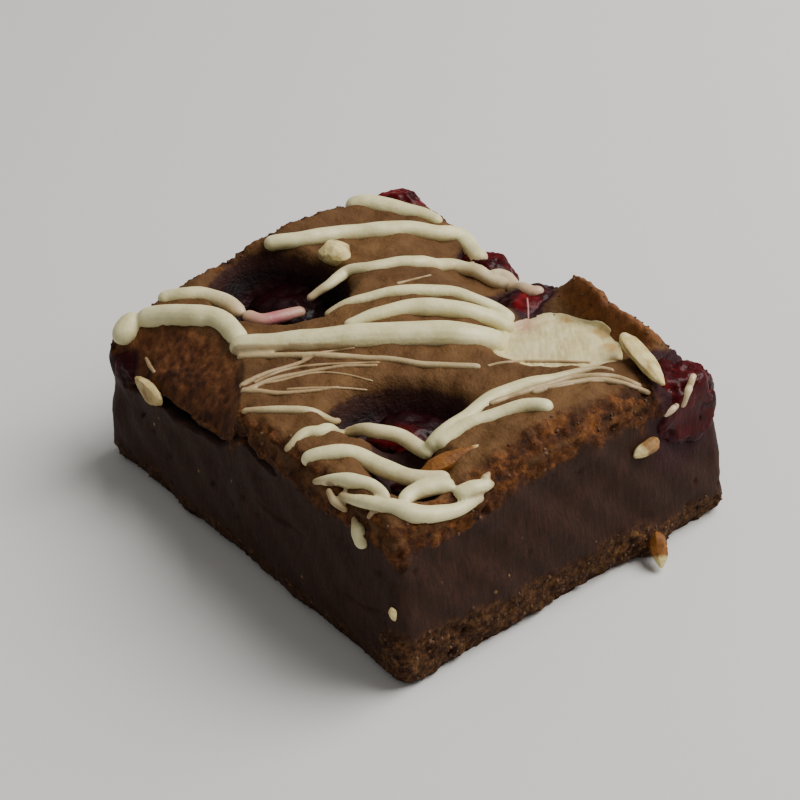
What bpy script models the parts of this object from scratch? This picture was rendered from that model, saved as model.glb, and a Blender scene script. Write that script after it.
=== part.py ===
"""Black forest brownie: one cut square of fudge brownie under white chocolate drizzle.

Cherries sit in pits in its crust, chopped almonds lie on it, and a pool of white
chocolate fills a hollow near its right corner.

Sizes are in millimetres, and MM turns them into Blender's metres when a mesh is made.
The origin is the middle of the flat base and +Z is up. The cut faces look along -X, the
left one, and -Y, the right one, and they meet in the front corner.
"""

import math
from functools import partial

import bmesh
import bpy
from mathutils import Euler, Matrix, Vector
from mathutils.bvhtree import BVHTree

MM = 0.001

# Driving sizes of the square
BASE_X = 65.0
BASE_Y = 82.0
RIM_Z = 28.0
TOP_TAPER = 2.2
GAP = 0.36

# Plan radius of each upright corner, keyed by the signs of x and y
CORNER_RADII = {(-1, -1): 2.5, (1, -1): 2.5, (-1, 1): 4.0, (1, 1): 6.5}

# Cells of the top's grid, and the heights of the rings down the sides as shares of the rim's
CELLS_X = 20
CELLS_Y = 26
WALL_LEVELS = (0.0, 0.05, 0.15, 0.3, 0.45, 0.6, 0.72, 0.8, 0.88, 0.95, 1.0)

# Inset of the sides from the base's outline at those levels: a rounded foot, an upright
# middle, a slight waist under the crust and the crust's rounded shoulder
WALL_INSETS = (1.3, 0.5, 0.1, 0.0, 0.3, 0.8, 1.4, 1.3, 1.2, 1.5, 2.2)

# Relief of the crust: centre x and y, half-widths, turn in degrees, rise, steepness
RELIEF = {
    "middle dome": (5.0, 9.0, 17.0, 15.0, 0.0, 2.2, 1),
    "back dome": (7.0, 37.0, 15.0, 6.0, 0.0, 2.6, 1),
    "front dome": (1.0, -34.0, 13.0, 7.0, 0.0, 1.9, 1),
    "left pit": (-5.2, 24.8, 9.4, 12.0, 12.0, -10.5, 4),
    "front pit": (-11.5, -16.5, 9.0, 5.8, -10.0, -7.0, 3),
    "front pit arm": (-19.5, -27.5, 5.2, 8.0, -14.0, -4.5, 2),
    "right hollow": (27.0, 8.0, 9.5, 13.5, 0.0, -5.0, 2),
    "cherry hollow": (22.0, -2.5, 6.5, 5.5, 0.0, -1.5, 2),
    "pool hollow": (17.6, -15.8, 12.6, 9.4, -35.0, -3.6, 2),
    "right rim": (30.5, -16.5, 3.2, 12.0, 0.0, 2.6, 2),
    "right corner slump": (30.0, -38.0, 9.0, 9.0, 0.0, -2.6, 1),
    "left corner slump": (-34.0, 42.0, 12.0, 12.0, 0.0, -6.0, 1),
    "back corner slump": (35.0, 43.0, 9.0, 9.0, 0.0, -3.0, 1),
    "front corner slump": (-33.0, -41.0, 7.0, 7.0, 0.0, -1.8, 1),
    "front edge dip": (-18.0, -41.0, 6.0, 4.5, 0.0, -2.2, 1),
}

# A bay in the left edge, where the crust slopes down to the left face: its deepest place, how
# its edge curves back, its fall and the places along Y between which it fades out
BAY_X = -19.5
BAY_Y = 20.0
BAY_CURVE = 0.028
BAY_FOOT_X = -31.5
BAY_FALL = 7.0
BAY_FADE_Y = (32.0, 38.0)

# Rounding of the crust's edge, and the small crags in it
EDGE_ROUND = 3.0
EDGE_DROP = 1.3
CRAG = 0.32
WALL_CRAG = 0.28

# A spur of crumb sticks out at the foot of the right face
SPUR_X = 16.5
SPUR_HALF_WIDTH = 3.4
SPUR_REACH = 2.2
SPUR_LEVEL = 0.16

# Drizzle strands are drawn on the rim's plane as sighted from here, and slide along the line
# of sight until they meet the crust
SIGHT = Vector((-156.7, -220.9, 199.1))
STRAND_SIDES = 6
STRAND_STEP = 2.8
STRAND_FLATNESS = 0.85
STRAND_SINK = 0.12

# Strands: radius at the start, middle and end, then the points that each passes, as x and y on
# the rim's plane. A third number is the height of a point that hangs clear of the crust.
STRANDS = {
    "back edge": ((1.7, 1.5, 1.2), ((19.9, 40.4), (25.2, 36.5), (27.9, 29.5), (27.2, 23.6))),
    "behind almond": ((1.3, 1.6, 1.3), ((1.5, 38.2), (13.0, 31.9), (22.6, 25.0), (27.4, 15.5), (26.8, 10.6))),
    "over dome": ((1.0, 1.1, 0.9), ((-3.3, 19.2), (4.1, 20.7), (15.7, 16.0), (20.3, 9.0), (21.7, 0.3))),
    "dome thin": ((0.8, 0.9, 0.8), ((-4.1, 12.6), (4.0, 12.8), (10.7, 9.6), (15.8, 3.0), (16.7, -9.2))),
    "dome thick": ((1.2, 1.9, 1.5), ((-3.3, 7.8), (3.0, 8.6), (11.2, 1.1), (14.2, -5.0), (14.5, -10.0))),
    "broad band": ((1.5, 1.9, 2.3), ((-21.3, 15.1), (-12.7, 10.6), (0.8, 0.0), (8.6, -7.0), (10.0, -12.6))),
    "under band": ((0.6, 0.6, 0.6), ((-22.0, 12.2), (-13.4, 5.0), (-5.2, -4.2), (-2.2, -9.5), (3.9, -16.2))),
    "fan upper": ((0.6, 0.5, 0.5), ((-26.7, 4.5), (-21.6, 5.4), (-12.7, 4.3))),
    "fan middle": ((0.6, 0.5, 0.5), ((-26.4, 3.6), (-20.8, 3.2), (-13.6, -0.3), (-7.2, -4.9))),
    "fan lower": ((0.6, 0.5, 0.5), ((-27.0, 3.8), (-23.3, -0.4), (-18.5, -3.8), (-15.2, -5.7))),
    "left of front pit": ((0.6, 0.7, 0.6), ((-30.0, -0.9), (-25.7, -3.9), (-21.4, -9.4), (-20.3, -12.7))),
    "front short": ((0.7, 0.8, 0.8), ((-31.4, -13.8), (-27.5, -12.2), (-23.2, -12.9), (-21.4, -16.6))),
    "front long": (
        (1.0, 1.2, 1.2),
        ((-31.4, -17.1), (-26.5, -17.8), (-22.9, -24.0, 26.6), (-21.4, -31.0, 26.4), (-16.5, -35.4)),
    ),
    "over cherry": (
        (0.9, 1.0, 1.0),
        ((-21.8, -15.6), (-18.4, -17.4, 27.2), (-16.1, -22.4, 26.6), (-15.6, -28.3)),
    ),
    "right sweep": (
        (1.2, 1.0, 0.8),
        ((-16.0, -28.3), (-9.8, -25.5), (0.6, -23.6), (10.2, -26.3), (16.2, -28.2), (17.8, -31.0)),
    ),
    "right branch": ((0.6, 0.6, 0.5), ((4.8, -26.6), (13.6, -30.3), (17.0, -35.0), (17.6, -39.1))),
    "right blunt": ((1.1, 1.0, 1.1), ((-14.5, -28.2), (-6.5, -26.2), (1.6, -28.3), (4.8, -31.7))),
    "front curl": ((0.8, 1.0, 0.8), ((-32.4, -23.1), (-29.0, -24.9), (-26.1, -29.0), (-27.1, -32.9))),
    "front corner": ((1.3, 1.4, 1.3), ((-31.3, -27.7), (-28.8, -31.8), (-25.1, -39.2), (-18.6, -41.0))),
    "corner bridge": ((1.2, 1.5, 1.3), ((-27.3, -34.1), (-22.8, -34.7, 26.6), (-17.4, -36.6))),
    "corner spur": ((1.2, 1.2, 1.0), ((-18.5, -38.0), (-16.0, -38.4), (-13.5, -39.6))),
    "left corner": (
        (1.7, 1.7, 1.4),
        ((-31.4, 30.8), (-25.7, 32.2), (-19.6, 28.9), (-17.7, 22.8), (-18.7, 15.4)),
    ),
    "left corner inner": (
        (1.1, 1.3, 1.0),
        ((-25.0, 35.6), (-17.3, 35.5), (-13.2, 29.5), (-14.3, 19.6), (-10.5, 16.9, 26.2), (-6.9, 15.3, 26.2)),
    ),
}

# Drips down the sides: radius and the points they run through
DRIPS = {
    "left drip": (0.8, ((-30.4, 24.4, 24.0), (-31.0, 22.6, 22.0))),
    "front drip": (0.9, ((-31.0, -30.4, 24.2), (-31.4, -32.4, 21.2))),
    "front loop": (0.9, ((-30.4, -25.6, 26.6), (-31.2, -27.8, 25.6), (-30.6, -30.6, 25.8))),
}

# Cherries: centre, half-sizes, turn about Z in degrees, and the depth of the dimple
CHERRIES = {
    "cherry_left_pit": ((-1.5, 28.0, 19.0), (7.6, 8.4, 5.6), 20.0, 0.18),
    "cherry_front_pit": ((-11.5, -17.0, 20.6), (8.0, 6.6, 5.2), -8.0, 0.22),
    "cherry_front_arm": ((-19.6, -28.6, 20.6), (4.6, 6.0, 4.6), -14.0, 0.12),
    "cherry_back_right": ((23.4, -2.6, 21.8), (6.4, 5.6, 4.2), 10.0, 0.15),
    "cherry_back_edge": ((28.6, 9.8, 21.7), (4.2, 6.4, 3.8), 0.0, 0.12),
    "cherry_back_corner": ((26.6, 33.4, 26.0), (5.0, 5.2, 4.2), 25.0, 0.12),
    "cherry_right_corner": ((25.0, -35.4, 21.4), (7.6, 7.4, 6.6), -20.0, 0.14),
    "cherry_left_corner": ((-27.0, 35.9, 18.3), (4.0, 4.4, 4.2), 0.0, 0.1),
}
CHERRY_SEGMENTS = 14
CHERRY_RINGS = 8
CUT_FACE_INSET = 0.5

# Almond pieces: centre, length, width and thickness, then the turn about X, Y and Z in degrees
ALMONDS = {
    "almond_chunk": ((7.0, 25.4, 29.6), (6.6, 5.2, 4.0), (0.0, 8.0, 30.0)),
    "almond_sliver_right": ((22.9, -31.6, 28.9), (16.6, 4.2, 2.4), (14.0, 3.0, 68.0)),
    "almond_sliver_left": ((-31.2, 25.9, 19.3), (9.4, 3.4, 2.6), (90.0, 0.0, 84.0)),
    "almond_front_pit": ((-13.6, -30.8, 27.0), (8.8, 3.6, 3.0), (0.0, -8.0, -16.0)),
    "almond_right_face": ((15.4, -40.2, 19.4), (5.4, 3.0, 2.4), (0.0, 6.0, 4.0)),
    "almond_base": ((15.6, -44.2, 2.6), (6.2, 3.2, 2.6), (0.0, 36.0, -125.0)),
    "almond_front_crumb": ((-31.9, -38.9, 13.4), (2.7, 1.3, 1.4), (0.0, 80.0, 0.0)),
}
ALMOND_RINGS = 5
ALMOND_SIDES = 7

# The pool of white chocolate: centre, half-sizes, turn in degrees, top and thickness
POOL_CENTRE = (17.6, -15.8)
POOL_HALF_SIZES = (11.6, 8.0)
POOL_TURN = -35.0
POOL_TOP_Z = 25.0
POOL_DOME = 0.7
POOL_THICKNESS = 2.4
POOL_SIDES = 26
POOL_RINGS = (0.35, 0.7, 0.92, 1.0)
POOL_LOBES = 0.09

# Cracks in the left face: ends along Y with their heights, width at the middle, and depth
CRACKS = {
    "long crack": ((33.0, 20.9), (3.4, 20.9), 1.5, 5.0),
    "short crack": ((-0.3, 23.4), (-11.0, 21.9), 1.1, 3.5),
}
CRACK_STATIONS = 9

# Colours as linear RGB, roughness and coat weight of each finish
FINISHES = {
    "brownie": ((0.055, 0.022, 0.012), 0.72, 0.0),
    "cherry": ((0.16, 0.004, 0.010), 0.18, 0.7),
    "almond": ((0.72, 0.52, 0.28), 0.5, 0.0),
    "white_chocolate": ((0.72, 0.64, 0.40), 0.42, 0.2),
}


def smooth_step(low, high, value):
    """Rise from 0 at low to 1 at high, level at both ends."""
    share = min(max((value - low) / (high - low), 0.0), 1.0)
    return share * share * (3.0 - 2.0 * share)


def outline_point(u, v, inset):
    """Point on the rounded outline for a point (u, v) on the edge of the unit square."""
    half_x = BASE_X / 2.0 - inset
    half_y = BASE_Y / 2.0 - inset
    x = u * half_x
    y = v * half_y
    corner = (1 if u > 0.0 else -1, 1 if v > 0.0 else -1)
    radius = max(CORNER_RADII[corner] - inset * 0.5, 1.0)
    centre = Vector((corner[0] * (half_x - radius), corner[1] * (half_y - radius)))
    away = Vector((x, y)) - centre
    if away.x * corner[0] > 0.0 and away.y * corner[1] > 0.0:
        rounded = centre + away.normalized() * radius
        return rounded.x, rounded.y
    return x, y


def wall_crag(x, y, z):
    """Unevenness of the cut sides."""
    along = math.sin(0.31 * x + 0.24 * y + 0.35 * z + 1.0)
    fine = math.sin(0.83 * x - 0.61 * y + 0.72 * z)
    return WALL_CRAG * (along + 0.6 * fine)


def spur(x, y, level):
    """How far the spur of crumb at the foot of the right face stands out."""
    if y > -BASE_Y / 4.0 or level > SPUR_LEVEL:
        return 0.0
    across = (x - SPUR_X) / SPUR_HALF_WIDTH
    return SPUR_REACH * math.exp(-across * across)


def mound(x, y, shape):
    """Rise of one named relief feature at a place in plan."""
    centre_x, centre_y, half_x, half_y, turn, rise, steepness = shape
    angle = math.radians(turn)
    away_x = x - centre_x
    away_y = y - centre_y
    along = (away_x * math.cos(angle) + away_y * math.sin(angle)) / half_x
    across = (away_y * math.cos(angle) - away_x * math.sin(angle)) / half_y
    return rise * math.exp(-((along * along + across * across) ** steepness))


def bay_drop(x, y):
    """Fall of the crust towards the left face."""
    edge_x = BAY_X - BAY_CURVE * (y - BAY_Y) ** 2
    width = max(edge_x - BAY_FOOT_X, 1.0)
    share = min(max((edge_x - x) / width, 0.0), 1.0)
    return BAY_FALL * share * (1.0 - smooth_step(*BAY_FADE_Y, y))


def top_height(x, y, edge_distance):
    """Height of the crust at a place in plan, edge_distance in from the rim's outline."""
    height = RIM_Z - bay_drop(x, y)
    for shape in RELIEF.values():
        height += mound(x, y, shape)
    height += CRAG * (math.sin(0.9 * x + 0.4 * y) + math.sin(1.1 * y - 0.7 * x + 2.0))
    if edge_distance < EDGE_ROUND:
        height -= EDGE_DROP * (1.0 - edge_distance / EDGE_ROUND) ** 2
    return height


def grid_places(cells):
    """Grid lines from -1 to 1, closer together towards both ends."""
    lines = [2.0 * index / cells - 1.0 for index in range(cells + 1)]
    return [line * (1.28 - 0.28 * line * line) for line in lines]


def top_point(u, v):
    """Point of the crust for a place (u, v) in the unit square."""
    ring = max(abs(u), abs(v), 1e-6)
    x, y = outline_point(u / ring, v / ring, TOP_TAPER)
    edge_distance = (1.0 - ring) * math.hypot(x, y)
    x *= ring
    y *= ring
    return Vector((x, y, top_height(x, y, edge_distance)))


def border_places(us, vs):
    """Places round the unit square's edge, anticlockwise from its front left corner."""
    front = [(u, -1.0) for u in us[:-1]]
    right = [(1.0, v) for v in vs[:-1]]
    back = [(u, 1.0) for u in reversed(us[1:])]
    left = [(-1.0, v) for v in reversed(vs[1:])]
    return front + right + back + left


def wall_point(u, v, level_index):
    """Point of the sides below a place on the rim."""
    level = WALL_LEVELS[level_index]
    rim = top_point(u, v)
    x, y = outline_point(u, v, WALL_INSETS[level_index])
    z = rim.z * level
    if level == 0.0:
        return Vector((x, y, 0.0))
    out = Vector((x, y)).normalized() * wall_crag(x, y, z)
    return Vector((x + out.x, y + out.y - spur(x, y, level), z))


def mesh_object(name, build, finish):
    """Object with the mesh that build fills a bmesh with, in millimetres."""
    mesh = bpy.data.meshes.new(name)
    shape = bmesh.new()
    build(shape)
    bmesh.ops.recalc_face_normals(shape, faces=shape.faces)
    bmesh.ops.scale(shape, vec=(MM, MM, MM), verts=shape.verts)
    shape.to_mesh(mesh)
    shape.free()
    mesh.materials.append(material(name, finish))
    item = bpy.data.objects.new(name, mesh)
    bpy.context.collection.objects.link(item)
    return item


def material(name, finish):
    """Principled material of one finish for one object."""
    colour, roughness, coat = FINISHES[finish]
    result = bpy.data.materials.new(name)
    result.use_nodes = True
    shader = result.node_tree.nodes["Principled BSDF"]
    shader.inputs["Base Color"].default_value = (*colour, 1.0)
    shader.inputs["Roughness"].default_value = roughness
    shader.inputs["Metallic"].default_value = 0.0
    shader.inputs["Coat Weight"].default_value = coat
    return result


def build_block(shape):
    """The brownie without its toppings: crust, cut sides and flat base."""
    us = grid_places(CELLS_X)
    vs = grid_places(CELLS_Y)
    top = {(i, j): shape.verts.new(top_point(u, v)) for i, u in enumerate(us) for j, v in enumerate(vs)}
    for i in range(CELLS_X):
        for j in range(CELLS_Y):
            corners = [top[i, j], top[i + 1, j], top[i + 1, j + 1], top[i, j + 1]]
            shape.faces.new(corners)
    border = border_places(us, vs)
    rim = [top[us.index(u), vs.index(v)] for u, v in border]
    above = rim
    for level_index in range(len(WALL_LEVELS) - 2, -1, -1):
        ring = [shape.verts.new(wall_point(u, v, level_index)) for u, v in border]
        bridge(shape, ring, above)
        above = ring
    middle = shape.verts.new((0.0, 0.0, 0.0))
    for index, corner in enumerate(above):
        shape.faces.new((middle, above[(index + 1) % len(above)], corner))
    bmesh.ops.triangulate(shape, faces=shape.faces)


def bridge(shape, low, high):
    """Band of faces between two rings of as many points."""
    count = len(low)
    for index in range(count):
        after = (index + 1) % count
        shape.faces.new((low[index], low[after], high[after], high[index]))


def surface_tree(block):
    """Search tree over the block's triangles, in millimetres."""
    shape = bmesh.new()
    shape.from_mesh(block.data)
    bmesh.ops.scale(shape, vec=(1.0 / MM, 1.0 / MM, 1.0 / MM), verts=shape.verts)
    tree = BVHTree.FromBMesh(shape)
    shape.free()
    return tree


def sighted(x, y, z):
    """Point at height z on the line of sight through (x, y) on the rim's plane."""
    line = Vector((x, y, RIM_Z)) - SIGHT
    return SIGHT + line * ((z - SIGHT.z) / line.z)


def settled(tree, x, y):
    """Point where the line of sight through (x, y) on the rim's plane meets the crust."""
    line = Vector((x, y, RIM_Z)) - SIGHT
    hit = tree.ray_cast(SIGHT, line.normalized())[0]
    return hit if hit is not None else Vector((x, y, RIM_Z))


def crust_under(tree, point):
    """Height of the crust straight under or over a point, or None past its edge."""
    hit = tree.ray_cast(Vector((point.x, point.y, 2.0 * RIM_Z)), Vector((0.0, 0.0, -1.0)))[0]
    return None if hit is None else hit.z


def curve_through(points):
    """Smooth curve through the points, a sample about every STRAND_STEP."""
    ends = [points[0] * 2.0 - points[1]] + points + [points[-1] * 2.0 - points[-2]]
    samples = []
    for first, start, end, last in zip(ends, ends[1:], ends[2:], ends[3:]):
        pieces = max(2, round((end - start).length / STRAND_STEP))
        for piece in range(pieces):
            t = piece / pieces
            pull = (end - first) * t
            bend = (first * 2.0 - start * 5.0 + end * 4.0 - last) * t * t
            twist = (start * 3.0 - first - end * 3.0 + last) * t * t * t
            samples.append((start * 2.0 + pull + bend + twist) * 0.5)
    samples.append(points[-1])
    return samples


def strand_route(tree, passes):
    """Middle line of a strand, lying on the crust or hanging over a pit."""
    knots = []
    for place in passes:
        knots.append(sighted(*place) if len(place) == 3 else settled(tree, *place))
    route = []
    for point in curve_through(knots):
        under = crust_under(tree, point)
        hanging = under is not None and point.z > under + 1.2 and any(len(p) == 3 for p in passes)
        if under is not None and not hanging:
            point.z = under
        route.append(point)
    return route


def radius_along(radii, share):
    """Radius at a share of the way along, from those at the start, middle and end."""
    start, middle, end = radii
    if share < 0.5:
        return start + (middle - start) * share * 2.0
    return middle + (end - middle) * (share * 2.0 - 1.0)


def build_tube(shape, route, radii):
    """Closed rounded strand along a route, a little flatter than wide."""
    rings = []
    last = len(route) - 1
    for index, point in enumerate(route):
        ahead = route[min(index + 1, last)] - route[max(index - 1, 0)]
        side = ahead.cross(Vector((0.0, 0.0, 1.0))).normalized()
        rise = side.cross(ahead).normalized()
        radius = radius_along(radii, index / last)
        size = radius * (0.62 if index in (0, last) else 1.0)
        middle = point + rise * radius * STRAND_SINK
        ring = []
        for corner in range(STRAND_SIDES):
            angle = 2.0 * math.pi * (corner + 0.5) / STRAND_SIDES
            reach = side * math.cos(angle) + rise * math.sin(angle) * STRAND_FLATNESS
            ring.append(shape.verts.new(middle + reach * size))
        rings.append(ring)
    for low, high in zip(rings, rings[1:]):
        bridge(shape, low, high)
    shape.faces.new(rings[0])
    shape.faces.new(list(reversed(rings[-1])))


def build_cherry(shape, centre, half_sizes, turn, dimple, grow):
    """Squashed, dimpled cherry, trimmed flush where the square was cut."""
    bmesh.ops.create_uvsphere(shape, u_segments=CHERRY_SEGMENTS, v_segments=CHERRY_RINGS, radius=1.0)
    spin = Matrix.Rotation(math.radians(turn), 3, "Z")
    limit_x = BASE_X / 2.0 - CUT_FACE_INSET + grow * 4.0
    limit_y = BASE_Y / 2.0 - CUT_FACE_INSET + grow * 4.0
    for vert in shape.verts:
        ray = vert.co.normalized()
        lumps = 1.0 + 0.05 * math.sin(4.0 * ray.x + centre[0]) + 0.05 * math.sin(5.0 * ray.y + 3.0 * ray.z)
        hollow = dimple * math.exp(-6.0 * ((ray.x - 0.2) ** 2 + (ray.y + 0.1) ** 2)) * max(ray.z, 0.0)
        size = [half * (lumps - hollow) + grow for half in half_sizes]
        point = spin @ Vector([size[axis] * ray[axis] for axis in range(3)]) + Vector(centre)
        point.x = min(max(point.x, -limit_x), limit_x)
        point.y = min(max(point.y, -limit_y), limit_y)
        vert.co = point


def build_almond(shape, centre, sizes, turns, grow):
    """Sliver or chunk of almond: a lens along X with uneven flats, pointed at one end."""
    half_length, half_width, half_thick = [size / 2.0 + grow for size in sizes]
    turn = Euler([math.radians(angle) for angle in turns]).to_matrix()
    rings = []
    for ring_index in range(ALMOND_RINGS):
        share = 2.0 * ring_index / (ALMOND_RINGS - 1) - 1.0
        along = share * 0.94
        swell = (1.0 - abs(along) ** 2.2) ** 0.6 * (1.0 - 0.25 * along)
        ring = []
        for corner in range(ALMOND_SIDES):
            angle = 2.0 * math.pi * corner / ALMOND_SIDES + 0.3
            flat = 1.0 + 0.12 * math.sin(3.0 * angle + centre[0] + ring_index)
            place = Vector(
                (
                    along * half_length,
                    math.cos(angle) * half_width * swell * flat,
                    math.sin(angle) * half_thick * swell * flat,
                )
            )
            ring.append(shape.verts.new(turn @ place + Vector(centre)))
        rings.append(ring)
    for low, high in zip(rings, rings[1:]):
        bridge(shape, low, high)
    shape.faces.new(rings[0])
    shape.faces.new(list(reversed(rings[-1])))


def build_pool(shape, grow):
    """Flat pool with a lobed outline and a slightly domed top."""
    turn = math.radians(POOL_TURN)

    def place(angle, share, z):
        lobes = 1.0 + POOL_LOBES * (math.sin(3.0 * angle + 0.6) + 0.6 * math.sin(5.0 * angle))
        along = math.cos(angle) * (POOL_HALF_SIZES[0] * lobes + grow) * share
        across = math.sin(angle) * (POOL_HALF_SIZES[1] * lobes + grow) * share
        x = POOL_CENTRE[0] + along * math.cos(turn) - across * math.sin(turn)
        y = POOL_CENTRE[1] + along * math.sin(turn) + across * math.cos(turn)
        return (x, y, z)

    angles = [2.0 * math.pi * index / POOL_SIDES for index in range(POOL_SIDES)]
    middle = shape.verts.new((*POOL_CENTRE, POOL_TOP_Z + POOL_DOME + grow))
    above = None
    for share in POOL_RINGS:
        z = POOL_TOP_Z + POOL_DOME * (1.0 - share**3) + grow
        ring = [shape.verts.new(place(angle, share, z)) for angle in angles]
        if above is None:
            for index, corner in enumerate(ring):
                shape.faces.new((middle, corner, ring[(index + 1) % POOL_SIDES]))
        else:
            bridge(shape, ring, above)
        above = ring
    foot_z = POOL_TOP_Z - POOL_THICKNESS - grow
    foot = [shape.verts.new(place(angle, 0.93, foot_z)) for angle in angles]
    bridge(shape, foot, above)
    under = shape.verts.new((*POOL_CENTRE, foot_z))
    for index, corner in enumerate(foot):
        shape.faces.new((under, foot[(index + 1) % POOL_SIDES], corner))


def build_crack(shape, start, end, width, depth):
    """Blade that opens a crack in the left face, thin at both ends."""
    rings = []
    for station in range(CRACK_STATIONS):
        share = station / (CRACK_STATIONS - 1)
        y = start[0] + (end[0] - start[0]) * share
        z = start[1] + (end[1] - start[1]) * share + 0.35 * math.sin(9.0 * share)
        swell = 0.12 + 0.88 * math.sin(math.pi * share) ** 0.7
        outer = -BASE_X / 2.0 - 2.0
        inner = -BASE_X / 2.0 + 1.0 + depth * swell
        half = width / 2.0 * swell
        ring = [(outer, z - half * 1.5), (inner, z - 0.15), (inner, z + 0.15), (outer, z + half * 1.5)]
        rings.append([shape.verts.new((x, y, height)) for x, height in ring])
    for low, high in zip(rings, rings[1:]):
        bridge(shape, low, high)
    shape.faces.new(rings[0])
    shape.faces.new(list(reversed(rings[-1])))


def combine(block, tools, operation):
    """Join the tools to the block or cut them out of it, then remove them."""
    group = bpy.data.collections.new("tools")
    for tool in tools:
        group.objects.link(tool)
    modifier = block.modifiers.new("combine", "BOOLEAN")
    modifier.operation = operation
    modifier.operand_type = "COLLECTION"
    modifier.collection = group
    modifier.solver = "EXACT"
    graph = bpy.context.evaluated_depsgraph_get()
    result = bpy.data.meshes.new_from_object(block.evaluated_get(graph))
    block.modifiers.remove(modifier)
    block.data = result
    for tool in tools:
        bpy.data.objects.remove(tool)
    bpy.data.collections.remove(group)


def keep_largest(block):
    """Drop scraps that a cut left loose, and faces without area."""
    shape = bmesh.new()
    shape.from_mesh(block.data)
    bmesh.ops.remove_doubles(shape, verts=shape.verts, dist=0.01 * MM)
    bmesh.ops.dissolve_degenerate(shape, edges=shape.edges, dist=0.01 * MM)
    bmesh.ops.triangulate(shape, faces=shape.faces)
    unseen = set(shape.verts)
    groups = []
    while unseen:
        stack = [unseen.pop()]
        group = set(stack)
        while stack:
            for edge in stack.pop().link_edges:
                for vert in edge.verts:
                    if vert in unseen:
                        unseen.remove(vert)
                        group.add(vert)
                        stack.append(vert)
        groups.append(group)
    groups.sort(key=len)
    for group in groups[:-1]:
        bmesh.ops.delete(shape, geom=list(group), context="VERTS")
    shape.to_mesh(block.data)
    shape.free()


def make_strands(tree):
    """All drizzle strands and drips as separate closed shapes."""
    strands = []
    for name, (radii, passes) in STRANDS.items():
        route = strand_route(tree, passes)
        strands.append(mesh_object(name, partial(build_tube, route=route, radii=radii), "white_chocolate"))
    for name, (radius, passes) in DRIPS.items():
        route = curve_through([Vector(place) for place in passes])
        radii = (radius, radius, radius)
        strands.append(mesh_object(name, partial(build_tube, route=route, radii=radii), "white_chocolate"))
    return strands


def make_inclusions(grow, suffix):
    """Cherries, almonds and pool, grown by a margin on every side."""
    made = []
    for name, (centre, halves, turn, dimple) in CHERRIES.items():
        build = partial(
            build_cherry, centre=centre, half_sizes=halves, turn=turn, dimple=dimple, grow=grow
        )
        made.append(mesh_object(name + suffix, build, "cherry"))
    for name, (centre, sizes, turns) in ALMONDS.items():
        build = partial(build_almond, centre=centre, sizes=sizes, turns=turns, grow=grow)
        made.append(mesh_object(name + suffix, build, "almond"))
    pool_name = "white_chocolate_pool" + suffix
    made.append(mesh_object(pool_name, partial(build_pool, grow=grow), "white_chocolate"))
    return made


def make_cracks():
    """Blades for the cracks in the left face."""
    blades = []
    for name, (start, end, width, depth) in CRACKS.items():
        build = partial(build_crack, start=start, end=end, width=width, depth=depth)
        blades.append(mesh_object(name, build, "brownie"))
    return blades


def clear_scene():
    """Remove whatever the scene holds."""
    for item in list(bpy.data.objects):
        bpy.data.objects.remove(item)


def main():
    """Build the brownie, fuse its drizzle, seat its toppings and add them."""
    clear_scene()
    block = mesh_object("brownie", build_block, "brownie")
    tree = surface_tree(block)
    combine(block, make_strands(tree), "UNION")
    combine(block, make_inclusions(GAP, "_seat") + make_cracks(), "DIFFERENCE")
    keep_largest(block)
    make_inclusions(0.0, "")


main()
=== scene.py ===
"""Looks of a black forest brownie: one cut square of fudge brownie under white chocolate.

The cake, its drizzle, pool, cherries, almonds and crumbs are made again in fine detail from the
same sizes as the solids they stand for. Sizes are in millimetres until a mesh is made. The
origin is the middle of the flat base and +Z is up.
"""

from __future__ import annotations

import logging
import math
from dataclasses import dataclass, field
from enum import Enum
from typing import Any, Sequence

import bmesh
import bpy
import numpy as np
from mathutils import Euler, Matrix, Vector, noise
from mathutils.bvhtree import BVHTree
from mathutils.kdtree import KDTree

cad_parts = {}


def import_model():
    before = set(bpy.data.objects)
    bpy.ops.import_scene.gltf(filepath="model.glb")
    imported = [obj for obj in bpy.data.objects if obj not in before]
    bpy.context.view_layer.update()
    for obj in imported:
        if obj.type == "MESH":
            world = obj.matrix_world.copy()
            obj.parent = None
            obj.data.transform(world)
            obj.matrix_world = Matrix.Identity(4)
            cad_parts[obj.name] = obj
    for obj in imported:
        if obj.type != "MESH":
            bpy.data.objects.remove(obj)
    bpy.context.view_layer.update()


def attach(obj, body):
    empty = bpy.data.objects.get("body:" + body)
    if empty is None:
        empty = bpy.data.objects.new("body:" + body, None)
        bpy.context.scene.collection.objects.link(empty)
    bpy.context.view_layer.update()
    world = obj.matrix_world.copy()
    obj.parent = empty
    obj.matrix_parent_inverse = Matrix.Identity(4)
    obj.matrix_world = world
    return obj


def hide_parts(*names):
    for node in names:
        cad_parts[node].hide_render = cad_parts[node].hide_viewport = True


MM = 0.001
BODY = "root"
LOG = logging.getLogger("brownie")

# Direction in plan in which the drizzle's routes were drawn
VIEW_X, VIEW_Y = 0.578, 0.816

Colour = tuple[float, float, float, float]
Point = tuple[float, float, float]
Stops = tuple[tuple[float, Colour], ...]


def srgb(red: float, green: float, blue: float) -> Colour:
    """Linear colour of a screen colour given from 0 to 255."""
    shares = (red / 255.0, green / 255.0, blue / 255.0)
    linear = [s / 12.92 if s <= 0.04045 else ((s + 0.055) / 1.055) ** 2.4 for s in shares]
    return (linear[0], linear[1], linear[2], 1.0)


def stops(*places: tuple[float, float, float, float]) -> Stops:
    """Stops of a ramp, from a place and a screen colour each."""
    return tuple((place, srgb(*colour)) for place, *colour in places)


def smooth(low: float, high: float, value: np.ndarray) -> np.ndarray:
    """Rise from 0 at low to 1 at high, level at both ends."""
    share = np.clip((value - low) / (high - low), 0.0, 1.0)
    return share * share * (3.0 - 2.0 * share)


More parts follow.
